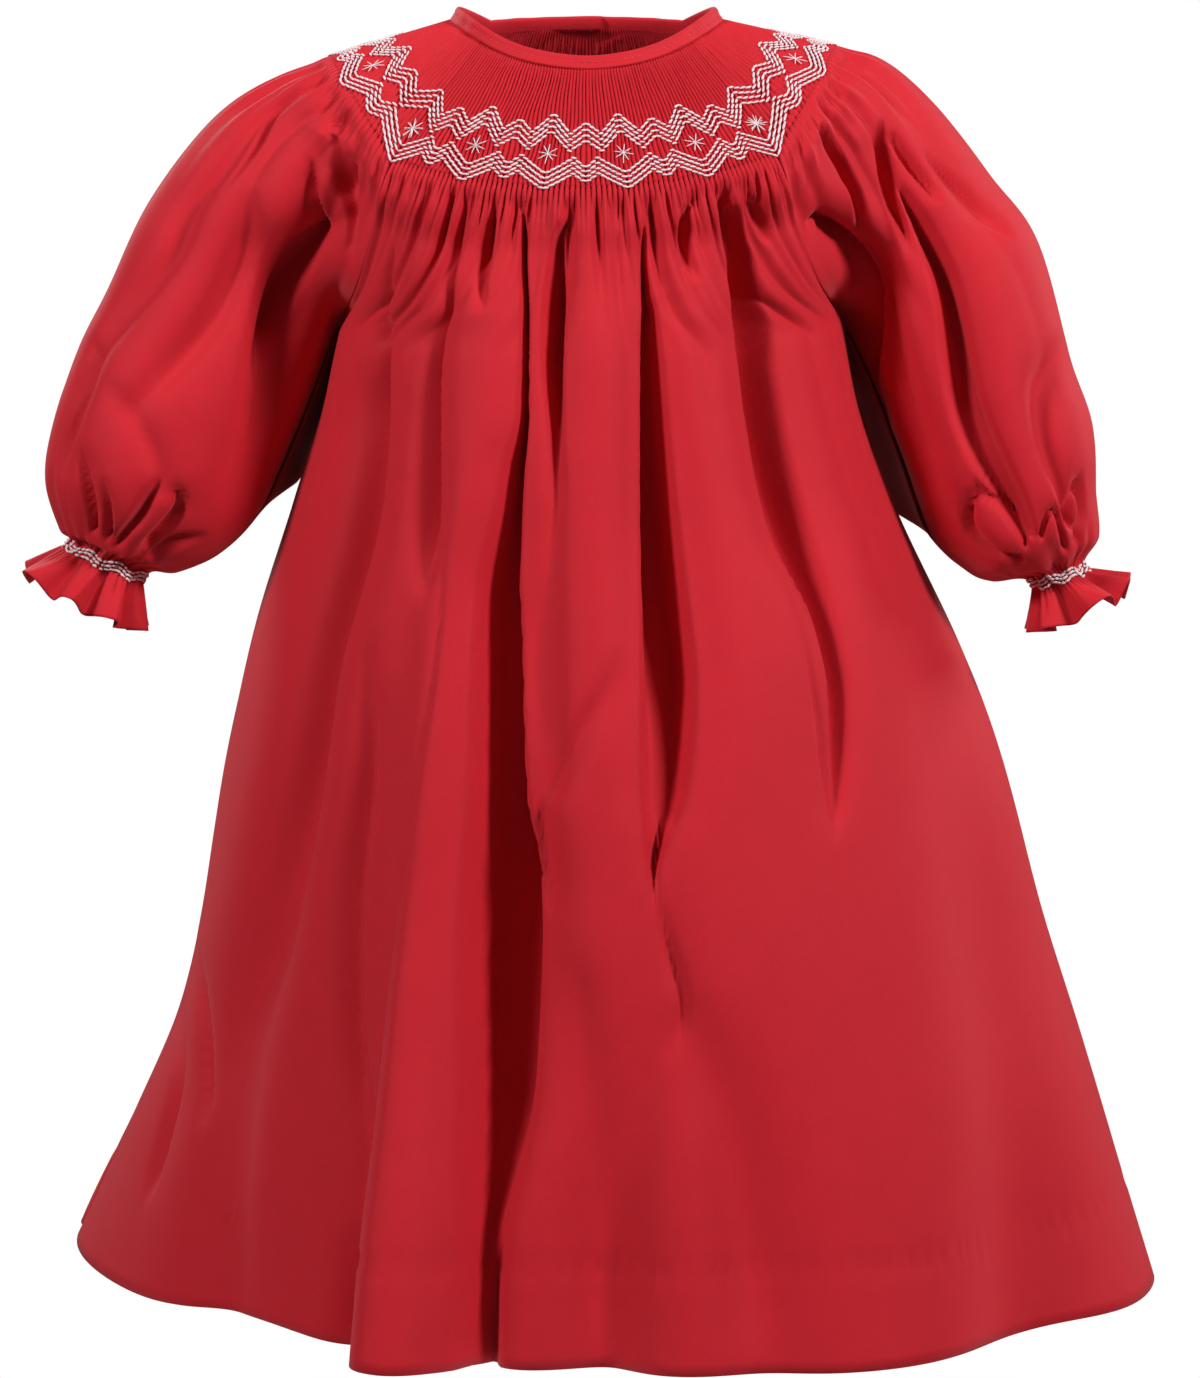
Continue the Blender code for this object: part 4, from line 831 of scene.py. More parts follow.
def tuck_behind(points, theta, side):
    """Leans a sleeve's inner back in behind the body's side, clear of it, as it hangs from the armpit."""
    stop, easing, back = TUCKS[side]
    names = ("left_x", "left_z") if side < 0 else ("right_x", "right_z")
    values = table_values(SKIRT, SKIRT_COLUMNS, names)
    column = int(np.argmin(np.abs(theta[ARMPIT_INDEX - 1] - TUCK_ANGLE)))
    place = points[:, column]
    edge = np.interp(-place[:, 2], -values[:, 1], np.abs(values[:, 0]))
    fade = np.clip((place[:, 2] - stop) / 0.012, 0, 1) * np.clip((SLEEVE_ROWS - ARMPIT_ROW) / 0.2, 0, 1)
    fade = ease(fade)
    move = np.maximum(np.abs(place[:, 0]) - edge + easing, 0) * fade
    leaning = bump(theta - TUCK_ANGLE, TUCK_SPREAD)
    tucked = points.copy()
    tucked[..., 0] -= side * move[:, None] * leaning
    tucked[..., 1] += back * fade[:, None] * leaning
    return tucked


def join_seams(front, back, sleeves):
    """Opens each seam to SEAM, so that neighbouring pieces nearly touch."""
    half = SEAM / 2
    rows = slice(0, ARMPIT_INDEX + 1)
    for side, column in ((-1, 0), (1, -1)):
        sleeve = sleeves[side]
        front[rows, column, 0] -= side * half
        back[rows, column, 0] -= side * half
        sleeve[rows, 0, 0] += side * half
        sleeve[rows, -1, 0] += side * half
        front[ARMPIT_INDEX:, column, 1] -= half
        back[ARMPIT_INDEX:, column, 1] += half
        sleeve[ARMPIT_INDEX:, 0, 1] -= half
        sleeve[ARMPIT_INDEX:, -1, 1] += half


def above_hem(points):
    """How far each point is from the hem's edge, along the cloth."""
    down = distance_down(points)
    return down[-1:] - down


def hem_thickness(points):
    """The cloth is double from the hem's edge up to its stitches."""
    return np.where(above_hem(points) < HEM_DEPTH, HEM_CLOTH, CLOTH)


def hem_line(points, stitches, seed):
    """Moves the cloth in along the hem's stitching, with a small dimple at each stitch."""
    above = above_hem(points)
    run = distance_across(points)[-1]
    dice = np.random.RandomState(seed)
    line = bump(above - HEM_DEPTH, 0.0016) * 0.00025
    for place in np.linspace(0.004, run[-1] - 0.004, stitches) + dice.uniform(-0.001, 0.001, stitches):
        column = int(np.argmin(np.abs(run - place)))
        reach = (run - run[column])[None, :] / 0.0015
        line = line + 0.0008 * np.exp(-reach ** 2 - ((above - HEM_DEPTH) / 0.0013) ** 2)
    step = np.where(above < HEM_DEPTH, 0.00015, 0.0)
    return step - line


front = make_front()
back = make_back()
sleeve_left, left_outward = make_sleeve(-1, LEFT_SLEEVE, LEFT_SLEEVE_FOLDS, LEFT_SLEEVE_VALLEYS, 31)
sleeve_right, right_outward = make_sleeve(1, RIGHT_SLEEVE, RIGHT_SLEEVE_FOLDS, RIGHT_SLEEVE_VALLEYS, 51)
front += grid_normals(front, FRONT_OUT) * hem_line(front, HEM_STITCHES, 5)[..., None]
back += grid_normals(back, BACK_OUT) * hem_line(back, HEM_STITCHES, 6)[..., None]
join_seams(front, back, {-1: sleeve_left, 1: sleeve_right})

pieces = {}
front_normals = grid_normals(front, FRONT_OUT)
pieces["front"] = shell("front_skirt", front, front_normals, hem_thickness(front), COTTON, 0.60)
middle = back.shape[1] // 2
back_normals = grid_normals(back, BACK_OUT)
for name, part, edge, side in (("back_left", slice(0, middle + 1), -1, -1),
                               ("back_right", slice(middle, None), 0, 1)):
    points = back[:, part].copy()
    points[:, edge, 0] += side * SEAM / 2
    pieces[name] = shell(name + "_skirt", points, back_normals[:, part], hem_thickness(points), COTTON, 0.30)
for name, points, outward in (("sleeve_left", sleeve_left, left_outward),
                              ("sleeve_right", sleeve_right, right_outward)):
    pieces[name] = shell(name + "_cloth", points, grid_normals(points, outward), CLOTH, COTTON, 0.26)


# ---------------------------------------------------------------- the smocked yoke
def star_pull(place, rows):
    """The stitches draw the pleats together round each star, so the pleats wave sideways."""
    phase = place / PLEATS_EACH_REPEAT
    band = bump(rows - 0.68, 0.17)
    return 0.35 * np.sin(2 * np.pi * phase)[None, :] * band[:, None]


def yoke_panel(form, normals, pleats, seed):
    """A yoke panel's points: fine pleats that wander a little, deep valleys and round tops."""
    dice = np.random.RandomState(seed)
    place = np.linspace(0, pleats, form.shape[1])
    wander = np.zeros(form.shape[:2])
    for _ in range(5):
        down = YOKE_ROWS[:, None] * dice.uniform(0.6, 2.2)
        across = place[None, :] * dice.uniform(0.01, 0.07)
        wander += 0.10 * np.sin(2 * np.pi * (down + across) + dice.uniform(0, 6.28))
    edge = np.clip(np.minimum(place, pleats - place) / 3.0, 0, 1)[None, :]
    rise = np.clip(YOKE_ROWS / 0.1, 0, 1)[:, None] * np.clip((JOIN_ROW - YOKE_ROWS) / 0.06, 0, 1)[:, None]
    shifted = place[None, :] + (wander + star_pull(place, YOKE_ROWS)) * edge * rise
    uneven = 1 + (0.25 * edge * rise * np.sin(place * 2.39 + 1.0)[None, :]
                  * np.sin(YOKE_ROWS * 9.0)[:, None])
    heights = pleat_depth(YOKE_ROWS)[:, None] * (pleat_wave(shifted) - 1.0) * uneven
    return form + normals * heights[..., None]


YOKE_LAP = 0.0002
yoke_forms = {}


def make_yoke(name, form, outward, pleats, seed, width):
    """One panel of the yoke; its smooth form is kept for the neck's binding."""
    normals = grid_normals(form, outward)
    yoke_forms[name] = (form, normals)
    points = yoke_panel(form, normals, pleats, seed)
    # The back's two halves lap at the middle.
    if name == "back_left":
        points[:, -1, 0] = YOKE_LAP
    elif name == "back_right":
        points[:, 0, 0] = -YOKE_LAP
    return shell(name + "_yoke", points, grid_normals(points, outward), CLOTH, COTTON, width)


def meet_at_seam(first, first_column, second, second_column):
    """Brings the edges of two panels together at their middle, easing off over a few columns."""
    middle = (first[:, first_column] + second[:, second_column]) / 2
    for form, column in ((first, first_column), (second, second_column)):
        move = middle - form[:, column]
        steps = np.arange(form.shape[1])
        if column < 0:
            steps = steps[::-1]
        form += move[:, None] * bump(steps, 10.0)[None, :, None]


front_form = body_form(YOKE_ROWS, np.linspace(-1, 1, FRONT_PLEATS * 8 + 1), -1)
back_form = body_form(YOKE_ROWS, np.linspace(-1, 1, BACK_PLEATS * 6 + 1), 1)
left_form, _ = sleeve_form(LEFT_SLEEVE, YOKE_ROWS, SLEEVE_PLEATS * 6 + 1)
right_form, _ = sleeve_form(RIGHT_SLEEVE, YOKE_ROWS, SLEEVE_PLEATS * 6 + 1)
meet_at_seam(front_form, 0, left_form, 0)
meet_at_seam(front_form, -1, right_form, 0)
meet_at_seam(back_form, 0, left_form, -1)
meet_at_seam(back_form, -1, right_form, -1)
pieces["front_yoke"] = make_yoke("front", front_form, FRONT_OUT, FRONT_PLEATS, 61, 0.30)
middle = back_form.shape[1] // 2
for name, part, seed in (("back_left", slice(0, middle + 1), 62), ("back_right", slice(middle, None), 63)):
    pieces[name + "_yoke"] = make_yoke(name, back_form[:, part], BACK_OUT, BACK_PLEATS // 2, seed, 0.15)
for form, name, seed in ((left_form, "sleeve_left", 64), (right_form, "sleeve_right", 65)):
    outward = facing_at_middle(form, (0, 0, 1))
    pieces[name + "_yoke"] = make_yoke(name, form, outward, SLEEVE_PLEATS, seed, 0.2)


# ---------------------------------------------------------------- embroidery
# The smocking's zigzag bands: the row (0 at the neck, 1 at the yoke's edge) of a band's first and last
# line of stitches at each phase between two stars.
BAND_PHASES = (0.0, 0.28, 0.5, 0.72, 1.0)
UPPER_BAND = ((0.370, 0.520, 0.435, 0.520, 0.370), (0.500, 0.655, 0.570, 0.655, 0.500))
LOWER_PHASES = (0.0, 0.34, 0.5, 0.66, 1.0)
LOWER_BAND = ((0.850, 0.710, 0.795, 0.710, 0.850), (1.000, 0.845, 0.925, 0.845, 1.000))
BAND_LINES = 4
STAR_ROW = 0.685
STAR_RAYS = 8
STAR_REACH = 0.0041
THREAD_RADIUS = 0.00047
STITCH_REACH = 0.64         # half of a yoke stitch, in pleats
STITCH_LIFT = 0.00022       # how far it stands off the pleats
RAISED_LIFT = 0.0004        # the same for the stars and the wrists
WRIST_LINES = 3
WRIST_FIRST_LINE = -0.0030  # its place along the cloth from the wrist, and then the gap to the next
WRIST_LINE_GAP = 0.0017
WRIST_ZIGZAG = 0.0024       # how far a wrist line wanders, and over how many pleats
WRIST_ZIGZAG_PLEATS = 6.0
WRIST_STITCH = 0.00128      # half of a wrist stitch
STITCH_ROWS = np.linspace(0.0, 1.1, 45)


def stitch_shape():
    """A low spindle, one unit from its middle to each end, made once and copied for every stitch."""
    bpy.ops.mesh.primitive_uv_sphere_add(segments=5, ring_count=4, radius=1.0)
    ball = bpy.context.object
    vertices = np.array([vertex.co[:] for vertex in ball.data.vertices])
    faces = np.array([list(face.vertices) + [face.vertices[-1]] * (4 - len(face.vertices))
                      for face in ball.data.polygons])
    bpy.data.objects.remove(ball)
    return vertices, faces


STITCH_VERTICES, STITCH_FACES = stitch_shape()


def on_grid(grid, row_place, column_place):
    """Points of a grid at fractional rows and columns."""
    row_place = np.clip(row_place, 0, grid.shape[0] - 1.001)
    column_place = np.clip(column_place, 0, grid.shape[1] - 1.001)
    row, column = row_place.astype(int), column_place.astype(int)
    down, along = (row_place - row)[:, None], (column_place - column)[:, None]
    top = grid[row, column] * (1 - along) + grid[row, column + 1] * along
    low = grid[row + 1, column] * (1 - along) + grid[row + 1, column + 1] * along
    return top * (1 - down) + low * down


def sew(starts, ends, normals, radius, lift):
    """Vertices and faces of stitches from starts to ends, lying on a surface with these normals."""
    middle = (starts + ends) / 2 + normals * lift
    half = (ends - starts) / 2
    side = unit(np.cross(normals, half))
    up = unit(np.cross(half, side))
    shape = STITCH_VERTICES[None, :, :, None]
    radius = np.broadcast_to(radius, (len(starts),))[:, None, None]
    vertices = (middle[:, None] + shape[:, :, 2] * half[:, None] + shape[:, :, 0] * side[:, None] * radius
                + shape[:, :, 1] * up[:, None] * radius)
    count = len(STITCH_VERTICES)
    faces = STITCH_FACES[None] + (np.arange(len(starts)) * count)[:, None, None]
    return vertices.reshape(-1, 3), faces.reshape(-1, 4)


class Embroidery:
    """Gathers the stitches of one piece of embroidery into one mesh."""

    def __init__(self, name):
        self.name = name
        self.vertices = []
        self.faces = []
        self.count = 0

    def add(self, starts, ends, normals, radius, lift):
        vertices, faces = sew(starts, ends, normals, radius, lift)
        self.vertices.append(vertices)
        self.faces.append(faces + self.count)
        self.count += len(vertices)

    def finish(self, material):
        return mesh_object(self.name, np.vstack(self.vertices), np.vstack(self.faces), material)


def band_line(place, phases, lines, share, side_drop):
    """The row of one line of a zigzag band at each pleat; share is its place from the first to the last."""
    phase = (place / PLEATS_EACH_REPEAT) % 1.0
    first = np.interp(phase, phases, lines[0])
    last = np.interp(phase, phases, lines[1])
    return first + (last - first) * share + side_drop


def smock(work, form, outward, first_place, pleats, seed):
    """The two zigzag bands and the stars on one panel; first_place is its first pleat's place."""
    dice = np.random.RandomState(seed)
    normals = grid_normals(form, outward)
    each = (form.shape[1] - 1) / pleats
    per_row = (len(STITCH_ROWS) - 1) / STITCH_ROWS[-1]
    ridge = np.arange(pleats) + 0.5
    across = 2 * ridge / pleats - 1
    for phases, lines, drop in ((BAND_PHASES, UPPER_BAND, 0.03), (LOWER_PHASES, LOWER_BAND, 0.0)):
        for line in range(BAND_LINES):
            row = band_line(ridge + first_place, phases, lines, line / (BAND_LINES - 1), drop * across ** 2)
            tilt = np.gradient(row) * 0.45
            reach = STITCH_REACH * dice.uniform(0.94, 1.08, pleats)
            wander = dice.uniform(-0.0035, 0.0035, pleats)
            starts = on_grid(form, (row - tilt + wander) * per_row, (ridge - reach) * each)
            ends = on_grid(form, (row + tilt - wander) * per_row, (ridge + reach) * each)
            facing = on_grid(normals, row * per_row, ridge * each)
            size = THREAD_RADIUS * dice.uniform(0.9, 1.12, pleats)
            work.add(starts, ends, unit(facing), size, STITCH_LIFT)
    first_star = -first_place % PLEATS_EACH_REPEAT
    for place in np.arange(first_star, pleats + 0.1, PLEATS_EACH_REPEAT):
        row = STAR_ROW + 0.02 * (2 * place / pleats - 1) ** 2
        at = np.array([place * each])
        middle = on_grid(form, np.array([row * per_row]), at)[0]
        facing = unit(on_grid(normals, np.array([row * per_row]), at))[0]
        below = on_grid(form, np.array([(row + 0.02) * per_row]), at)[0]
        down = unit(below - middle)
        sideways = unit(np.cross(facing, down))
        turn = dice.uniform(0, 0.5) + np.arange(STAR_RAYS) * 2 * np.pi / STAR_RAYS
        turn = turn + dice.uniform(-0.12, 0.12, STAR_RAYS)
        reach = STAR_REACH * dice.uniform(0.82, 1.1, STAR_RAYS)
        ray = (np.cos(turn)[:, None] * sideways + np.sin(turn)[:, None] * down * 1.2) * reach[:, None]
        count = len(ray)
        starts = np.repeat(middle[None], count, axis=0) - ray * 0.05 + facing * 0.0001
        facing = np.repeat(facing[None], count, axis=0)
        work.add(starts, middle + ray, facing, THREAD_RADIUS * 0.46, RAISED_LIFT)


def smock_wrist(work, cloth, outward, seed):
    """Three zigzag lines of stitches round a wrist, on the tops of its pleats."""
    dice = np.random.RandomState(seed)
    normals = grid_normals(cloth, outward)
    each = (cloth.shape[1] - 1) / WRIST_PLEATS
    ridge = np.arange(WRIST_PLEATS) + 0.5
    down = distance_down(cloth)
    wrist_row = int(np.argmin(np.abs(SLEEVE_ROWS - WRIST_ROW)))
    for line in range(WRIST_LINES):
        wave = np.abs((ridge / WRIST_ZIGZAG_PLEATS) % 1.0 - 0.5) * 2
        offset = WRIST_FIRST_LINE + WRIST_LINE_GAP * line + WRIST_ZIGZAG * wave
        row_place = np.empty(WRIST_PLEATS)
        for index, column in enumerate(np.round(ridge * each).astype(int)):
            run = down[:, column] - down[wrist_row, column]
            row_place[index] = np.interp(offset[index], run, np.arange(len(run)))
        tops = on_grid(cloth, row_place, ridge * each)
        facing = unit(on_grid(normals, row_place, ridge * each))
        around = np.roll(tops, -1, axis=0) - np.roll(tops, 1, axis=0)
        around[0] = tops[1] - tops[0]
        around[-1] = tops[-1] - tops[-2]
        around = unit(around - np.sum(around * facing, axis=1)[:, None] * facing)
        reach = WRIST_STITCH * dice.uniform(0.9, 1.1, WRIST_PLEATS)[:, None]
        work.add(tops - around * reach, tops + around * reach, facing, THREAD_RADIUS * 1.2, RAISED_LIFT)


yoke_work = Embroidery("smocking_yoke")
form = body_form(STITCH_ROWS, np.linspace(-1, 1, FRONT_PLEATS * 2 + 1), -1)
smock(yoke_work, form, FRONT_OUT, 0, FRONT_PLEATS, 71)
form = body_form(STITCH_ROWS, np.linspace(-1, 1, BACK_PLEATS * 2 + 1), 1)
middle = form.shape[1] // 2
for part, first_place, seed in ((slice(0, middle + 1), 0, 72), (slice(middle, None), BACK_PLEATS // 2, 73)):
    smock(yoke_work, form[:, part], BACK_OUT, first_place, BACK_PLEATS // 2, seed)
for table, seed in ((LEFT_SLEEVE, 74), (RIGHT_SLEEVE, 75)):
    form, _ = sleeve_form(table, STITCH_ROWS, SLEEVE_PLEATS * 2 + 1)
    smock(yoke_work, form, facing_at_middle(form, (0, 0, 1)), 0, SLEEVE_PLEATS, seed)
wrist_work = Embroidery("smocking_wrists")
smock_wrist(wrist_work, sleeve_left, left_outward, 76)
smock_wrist(wrist_work, sleeve_right, right_outward, 77)
pieces["smocking_yoke"] = yoke_work.finish(WHITE_THREAD)
pieces["smocking_wrists"] = wrist_work.finish(WHITE_THREAD)


# ---------------------------------------------------------------- neck binding
BINDING_STEPS = 341
BINDING_HALF = 0.00095      # half the thickness of the folded strip
BINDING_STITCHES = 118
LAP_STEPS = 15
LAP_LENGTH = 0.0060
LAP_DEPTH = 0.0022


def resample(points, count):
    """A line of points spaced evenly."""
    run = np.concatenate(([0], np.cumsum(np.linalg.norm(np.diff(points, axis=0), axis=1))))
    even = np.linspace(0, run[-1], count)
    return np.column_stack([np.interp(even, run, points[:, axis]) for axis in range(points.shape[1])])


def neck_line():
    """The neck edge from the back opening round by the right, the front and the left."""
    order = (("back_right", 1), ("sleeve_right", -1), ("front", -1), ("sleeve_left", 1), ("back_left", 1))
    points, normals = [], []
    for name, step in order:
        form, facing = yoke_forms[name]
        points.append(form[0, ::step][:-1])
        normals.append(facing[0, ::step][:-1])
    # Steps are even in place and in facing together, so they lie closer where the edge turns.
    points = resample(np.hstack((np.vstack(points), np.vstack(normals))), BINDING_STEPS)[:, :3]
    for _ in range(12):
        points[1:-1] = (points[:-2] + points[1:-1] * 2 + points[2:]) / 4
    points[0, 0] = SEAM
    # The left end runs on under the right one, to the loop that closes it.
    lap = ease((np.arange(len(points)) - (len(points) - 1 - LAP_STEPS)) / LAP_STEPS)
    points[:, 0] += LAP_LENGTH * lap
    points[:, 1] -= LAP_DEPTH * lap
    return points


def make_binding():
    """A folded strip over the raw neck edge, rounded at its top, with a row of stitches low down."""
    points = neck_line()
    flat_out = unit(points * np.array((1, 1, 0)))
    rise = unit(np.array((0, 0, 1.0)) - flat_out * BINDING_LEAN)
    face = unit(np.cross(np.gradient(points, axis=0), rise))
    face *= np.sign(np.sum(face * flat_out, axis=1))[:, None]
    half = BINDING_HALF
    height = BINDING_HEIGHT + 0.0004
    profile = ((-0.0012, half * 0.9), (-0.0006, half * 1.15), (0.0006, half * 1.0), (0.0014, half * 0.78),
               (0.0024, half * 1.05), (height * 0.62, half * 1.15), (height * 0.85, half * 1.0),
               (height * 0.97, half * 0.6), (height, 0.0), (height * 0.97, -half * 0.6),
               (height * 0.85, -half * 0.95), (height * 0.4, -half), (0.0, -half), (-0.0012, -half * 0.6))
    run = np.linspace(0, 1, len(points))
    wave = 0.00012 * np.sin(run * 173) + 0.00010 * np.sin(run * 97 + 1)
    # The outer face is a little uneven along its length.
    ring = np.array([points + rise * up + face * (out + wave * (out > 0))[:, None] for up, out in profile])
    uv_along = np.linspace(0, 0.29, len(points))
    count = len(points)
    sides = len(profile)
    index = np.arange(sides * count).reshape(sides, count)
    index = np.vstack((index, index[:1]))
    faces = np.column_stack((index[:-1, :-1].ravel(), index[:-1, 1:].ravel(),
                             index[1:, 1:].ravel(), index[1:, :-1].ravel()))
    vertices = ring.reshape(-1, 3)
    ends = []
    for column, flip in ((0, False), (count - 1, True)):
        loop = index[:-1, column]
        for step in range(1, sides - 1):
            second, third = (step, step + 1) if flip else (step + 1, step)
            ends.append((loop[0], loop[second], loop[third], loop[third]))
    faces = np.vstack((faces, np.array(ends)))
    uv = np.column_stack((np.tile(uv_along, sides), np.repeat(np.linspace(0, 0.014, sides), count)))
    binding = mesh_object("neck_binding_strip", vertices, faces, COTTON, uv)
    work = Embroidery("binding_stitches")
    line = resample(points + rise * 0.0014 + face * half * 0.8, 2 * BINDING_STITCHES)
    work.add(line[0::2], line[1::2], resample(face, BINDING_STITCHES), 0.00014, 0.00008)
    return binding, work.finish(RED_THREAD)


pieces["neck_binding"], pieces["binding_stitches"] = make_binding()


# ---------------------------------------------------------------- back button band and buttons
PLACKET_WIDTH = 0.015
PLACKET_LIFT = 0.0014
PLACKET_ROWS = np.concatenate((np.linspace(0.125, 2.0, 60), np.linspace(2.0, 5.0, 60)[1:]))
BUTTON_ROWS = (("button_top", 0.5), ("button_middle", 2.5), ("button_low", 4.0))
BUTTON_RADIUS = 0.0055
BUTTON_THICKNESS = 0.0022
BUTTON_RIM = 0.22           # the rim and its slope, as shares of the radius, and the dish of the thickness
BUTTON_SLOPE = 0.10
BUTTON_DISH = 0.32
BUTTON_LIFT = 0.0023        # how far its back is from the back's smooth form
HOLE_PLACE = 0.00115        # across and up from the button's middle
HOLE_RADIUS = 0.00052


def back_strip(rows, distances):
    """Points and normals of the back's smooth form at distances to the right of its middle."""
    form = body_form(rows, np.linspace(-1, 1, 241), 1)
    facing = grid_normals(form, BACK_OUT)
    middle = form.shape[1] // 2
    run = distance_across(form[:, middle:])
    points = np.empty((len(rows), len(distances), 3))
    normals = np.empty(points.shape)
    for index in range(len(rows)):
        for axis in range(3):
            points[index, :, axis] = np.interp(distances, run[index], form[index, middle:, axis])
            normals[index, :, axis] = np.interp(distances, run[index], facing[index, middle:, axis])
    return points, unit(normals)


def make_placket():
    """The button band: a strip with rolled edges and a line of stitching sunk beside each."""
    distances = np.linspace(0.0003, PLACKET_WIDTH, 22)
    points, normals = back_strip(PLACKET_ROWS, distances)
    edge = np.minimum(distances, PLACKET_WIDTH - distances)[None, :]
    roll = -0.0005 * bump(edge, 0.0006)
    stitched = -0.00022 * bump(edge - 0.0016, 0.0004)
    ripple = 0.00015 * np.sin(PLACKET_ROWS * 23)[:, None] * np.sin(distances * 500)[None, :]
    points = points + normals * (PLACKET_LIFT + roll + stitched + ripple)[..., None]
    return shell("back_button_band", points, grid_normals(points, BACK_OUT), 0.0009, COTTON, PLACKET_WIDTH)


def axes_on(normal):
    """Level, upright and outward directions on a surface with this normal."""
    axis = unit(normal)
    side = unit(np.cross((0, 0, 1.0), axis))
    return side, np.cross(axis, side), axis


def turn_to(axes, place):
    """The matrix that takes X, Y and Z to three axes and the origin to a place."""
    matrix = Matrix.Identity(4)
    for column, values in enumerate((*axes, place)):
        for row in range(3):
            matrix[row][column] = values[row]
    return matrix


def make_button(name, place, normal):
    """A four-hole button with a raised rim, and the threads that hold it: starts, ends and normals."""
    bpy.ops.mesh.primitive_cylinder_add(vertices=48, radius=BUTTON_RADIUS, depth=BUTTON_THICKNESS,
                                        location=(0, 0, BUTTON_THICKNESS / 2))
    button = bpy.context.object
    button.name = name + "_disc"
    bpy.ops.object.transform_apply(location=True)
    bpy.ops.object.mode_set(mode="EDIT")
    bpy.ops.mesh.select_all(action="DESELECT")
    bpy.ops.mesh.select_mode(type="FACE")
    bpy.ops.object.mode_set(mode="OBJECT")
    for face in button.data.polygons:
        face.select = face.normal.z > 0.9
    bpy.ops.object.mode_set(mode="EDIT")
    bpy.ops.mesh.inset(thickness=BUTTON_RADIUS * BUTTON_RIM)
    bpy.ops.mesh.inset(thickness=BUTTON_RADIUS * BUTTON_SLOPE)
    bpy.ops.transform.translate(value=(0, 0, -BUTTON_THICKNESS * BUTTON_DISH))
    bpy.ops.object.mode_set(mode="OBJECT")
    bevel = button.modifiers.new("rounding", "BEVEL")
    bevel.width = 0.00035
    bevel.segments = 3
    bevel.limit_method = "ANGLE"
    bpy.ops.object.modifier_apply(modifier=bevel.name)
    for x, y in ((-1, -1), (-1, 1), (1, -1), (1, 1)):
        bpy.ops.mesh.primitive_cylinder_add(vertices=16, radius=HOLE_RADIUS, depth=0.01,
                                            location=(x * HOLE_PLACE, y * HOLE_PLACE, 0))
        drill = bpy.context.object
        drill.select_set(False)
        bpy.context.view_layer.objects.active = button
        hole = button.modifiers.new("hole", "BOOLEAN")
        hole.operation = "DIFFERENCE"
        hole.object = drill
        bpy.ops.object.modifier_apply(modifier=hole.name)
        bpy.data.objects.remove(drill)
    button.select_set(True)
    bpy.ops.object.shade_smooth_by_angle(angle=math.radians(35))
    side, up, axis = axes_on(normal)
    button.data.transform(turn_to((side, up, axis), place))
    button.data.materials.clear()
    button.data.materials.append(BUTTON)
    button.select_set(False)
    level = place + axis * BUTTON_THICKNESS * 0.72
    strands = np.array([level + side * x * HOLE_PLACE for x in (-1, -0.7, 0.7, 1)])
    return button, strands - up * HOLE_PLACE, strands + up * HOLE_PLACE, np.repeat(axis[None], 4, axis=0)


pieces["back_placket"] = make_placket()
button_work = Embroidery("button_thread")
for name, row in BUTTON_ROWS:
    points, normals = back_strip(np.array([row, row + 0.01]), np.array([PLACKET_WIDTH / 2, 0.008]))
    place = points[0, 0] + normals[0, 0] * BUTTON_LIFT
    pieces[name], starts, ends, facing = make_button(name, place, normals[0, 0])
    button_work.add(starts, ends, facing, 0.00022, 0.0)
pieces["button_thread"] = button_work.finish(WHITE_THREAD)


# ---------------------------------------------------------------- camera, light, floor
CAMERA_TILT = 5.86          # how far the camera looks down, in degrees


def add_area_light(name, place, target, size, power, colour=(1, 1, 1), spread=180):
    lamp = bpy.data.lights.new(name, "AREA")
    lamp.shape = "DISK"
    lamp.size = size
    lamp.energy = power
    lamp.color = colour
    lamp.spread = math.radians(spread)
    thing = link(bpy.data.objects.new(name, lamp))
    thing.location = place
    direction = Vector(target) - thing.location
    thing.rotation_euler = direction.to_track_quat("-Z", "Y").to_euler()


def make_camera():
    camera = bpy.data.cameras.new("camera")
    camera.lens = 105.0
    camera.sensor_width = 36.0
    thing = link(bpy.data.objects.new("camera", camera))
    thing.location = (0.005, -1.5, -0.10)
    thing.rotation_euler = (math.radians(90 - CAMERA_TILT), 0, 0)
    bpy.context.scene.camera = thing


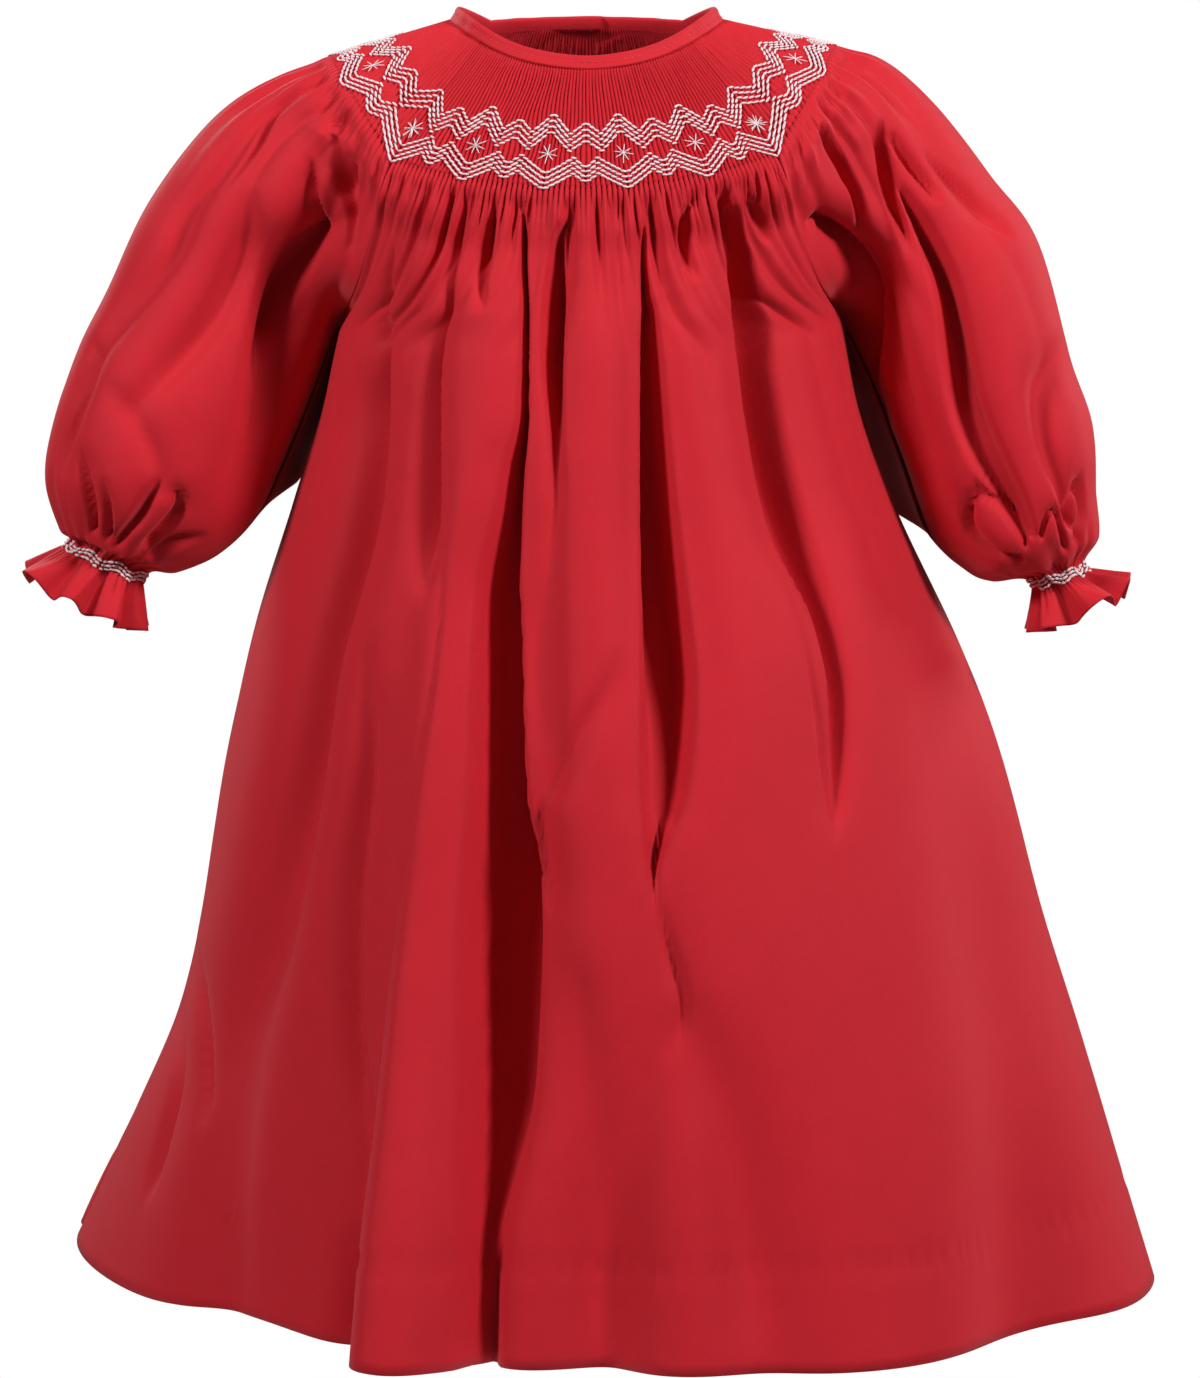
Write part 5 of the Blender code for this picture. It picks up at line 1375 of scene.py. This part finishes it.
def make_studio():
    material, _, _ = new_material("studio_white", {"Base Color": (0.92, 0.92, 0.92, 1), "Roughness": 0.9})
    bpy.ops.mesh.primitive_circle_add(vertices=96, radius=0.50, fill_type="NGON", location=(0, 0, -0.72))
    floor = bpy.context.object
    floor.name = "floor"
    floor.data.materials.append(material)
    floor.select_set(False)
    world = bpy.data.worlds.new("studio")
    bpy.context.scene.world = world
    world.use_nodes = True
    tree = world.node_tree
    tree.nodes.clear()
    output = add_node(tree, "ShaderNodeOutputWorld", 400, 0)
    mix = add_node(tree, "ShaderNodeMixShader", 200, 0)
    rays = add_node(tree, "ShaderNodeLightPath", -100, 200)
    # The dress gets little light from all round, while the backdrop itself shows plain white.
    ambient = add_node(tree, "ShaderNodeBackground", 0, 0, Strength=0.10)
    seen = add_node(tree, "ShaderNodeBackground", 0, -150, Color=(1, 1, 1, 1), Strength=1.0)
    tree.links.new(rays.outputs["Is Camera Ray"], mix.inputs["Fac"])
    tree.links.new(ambient.outputs["Background"], mix.inputs[1])
    tree.links.new(seen.outputs["Background"], mix.inputs[2])
    tree.links.new(mix.outputs["Shader"], output.inputs["Surface"])
    add_area_light("left softbox", (-1.42, -1.20, 0.95), (0, 0, -0.02), 0.45, 6.4, spread=80)
    add_area_light("right softbox", (1.38, -1.16, 0.90), (0, 0, -0.02), 0.45, 7.7, spread=80)
    add_area_light("right rim", (1.7, 1.0, 0.6), (0, 0, -0.2), 0.9, 18, (1.0, 0.93, 0.94))
    add_area_light("back", (-1.2, 1.9, 1.0), (0, 0, -0.2), 1.0, 26)
    bpy.context.scene.view_settings.view_transform = "Standard"


make_camera()
make_studio()

REPLACED = ("front", "back_left", "back_right", "sleeve_left", "sleeve_right", "neck_binding",
            "back_placket", "button_top", "button_middle", "button_low")
WHITE_PIECES = ("smocking_yoke", "smocking_wrists", "button_thread")
for name, piece in pieces.items():
    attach(piece, "root")
    if name in WHITE_PIECES:
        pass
    elif name.startswith("button_"):
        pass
    else:
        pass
    if name in REPLACED:
        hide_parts(name)
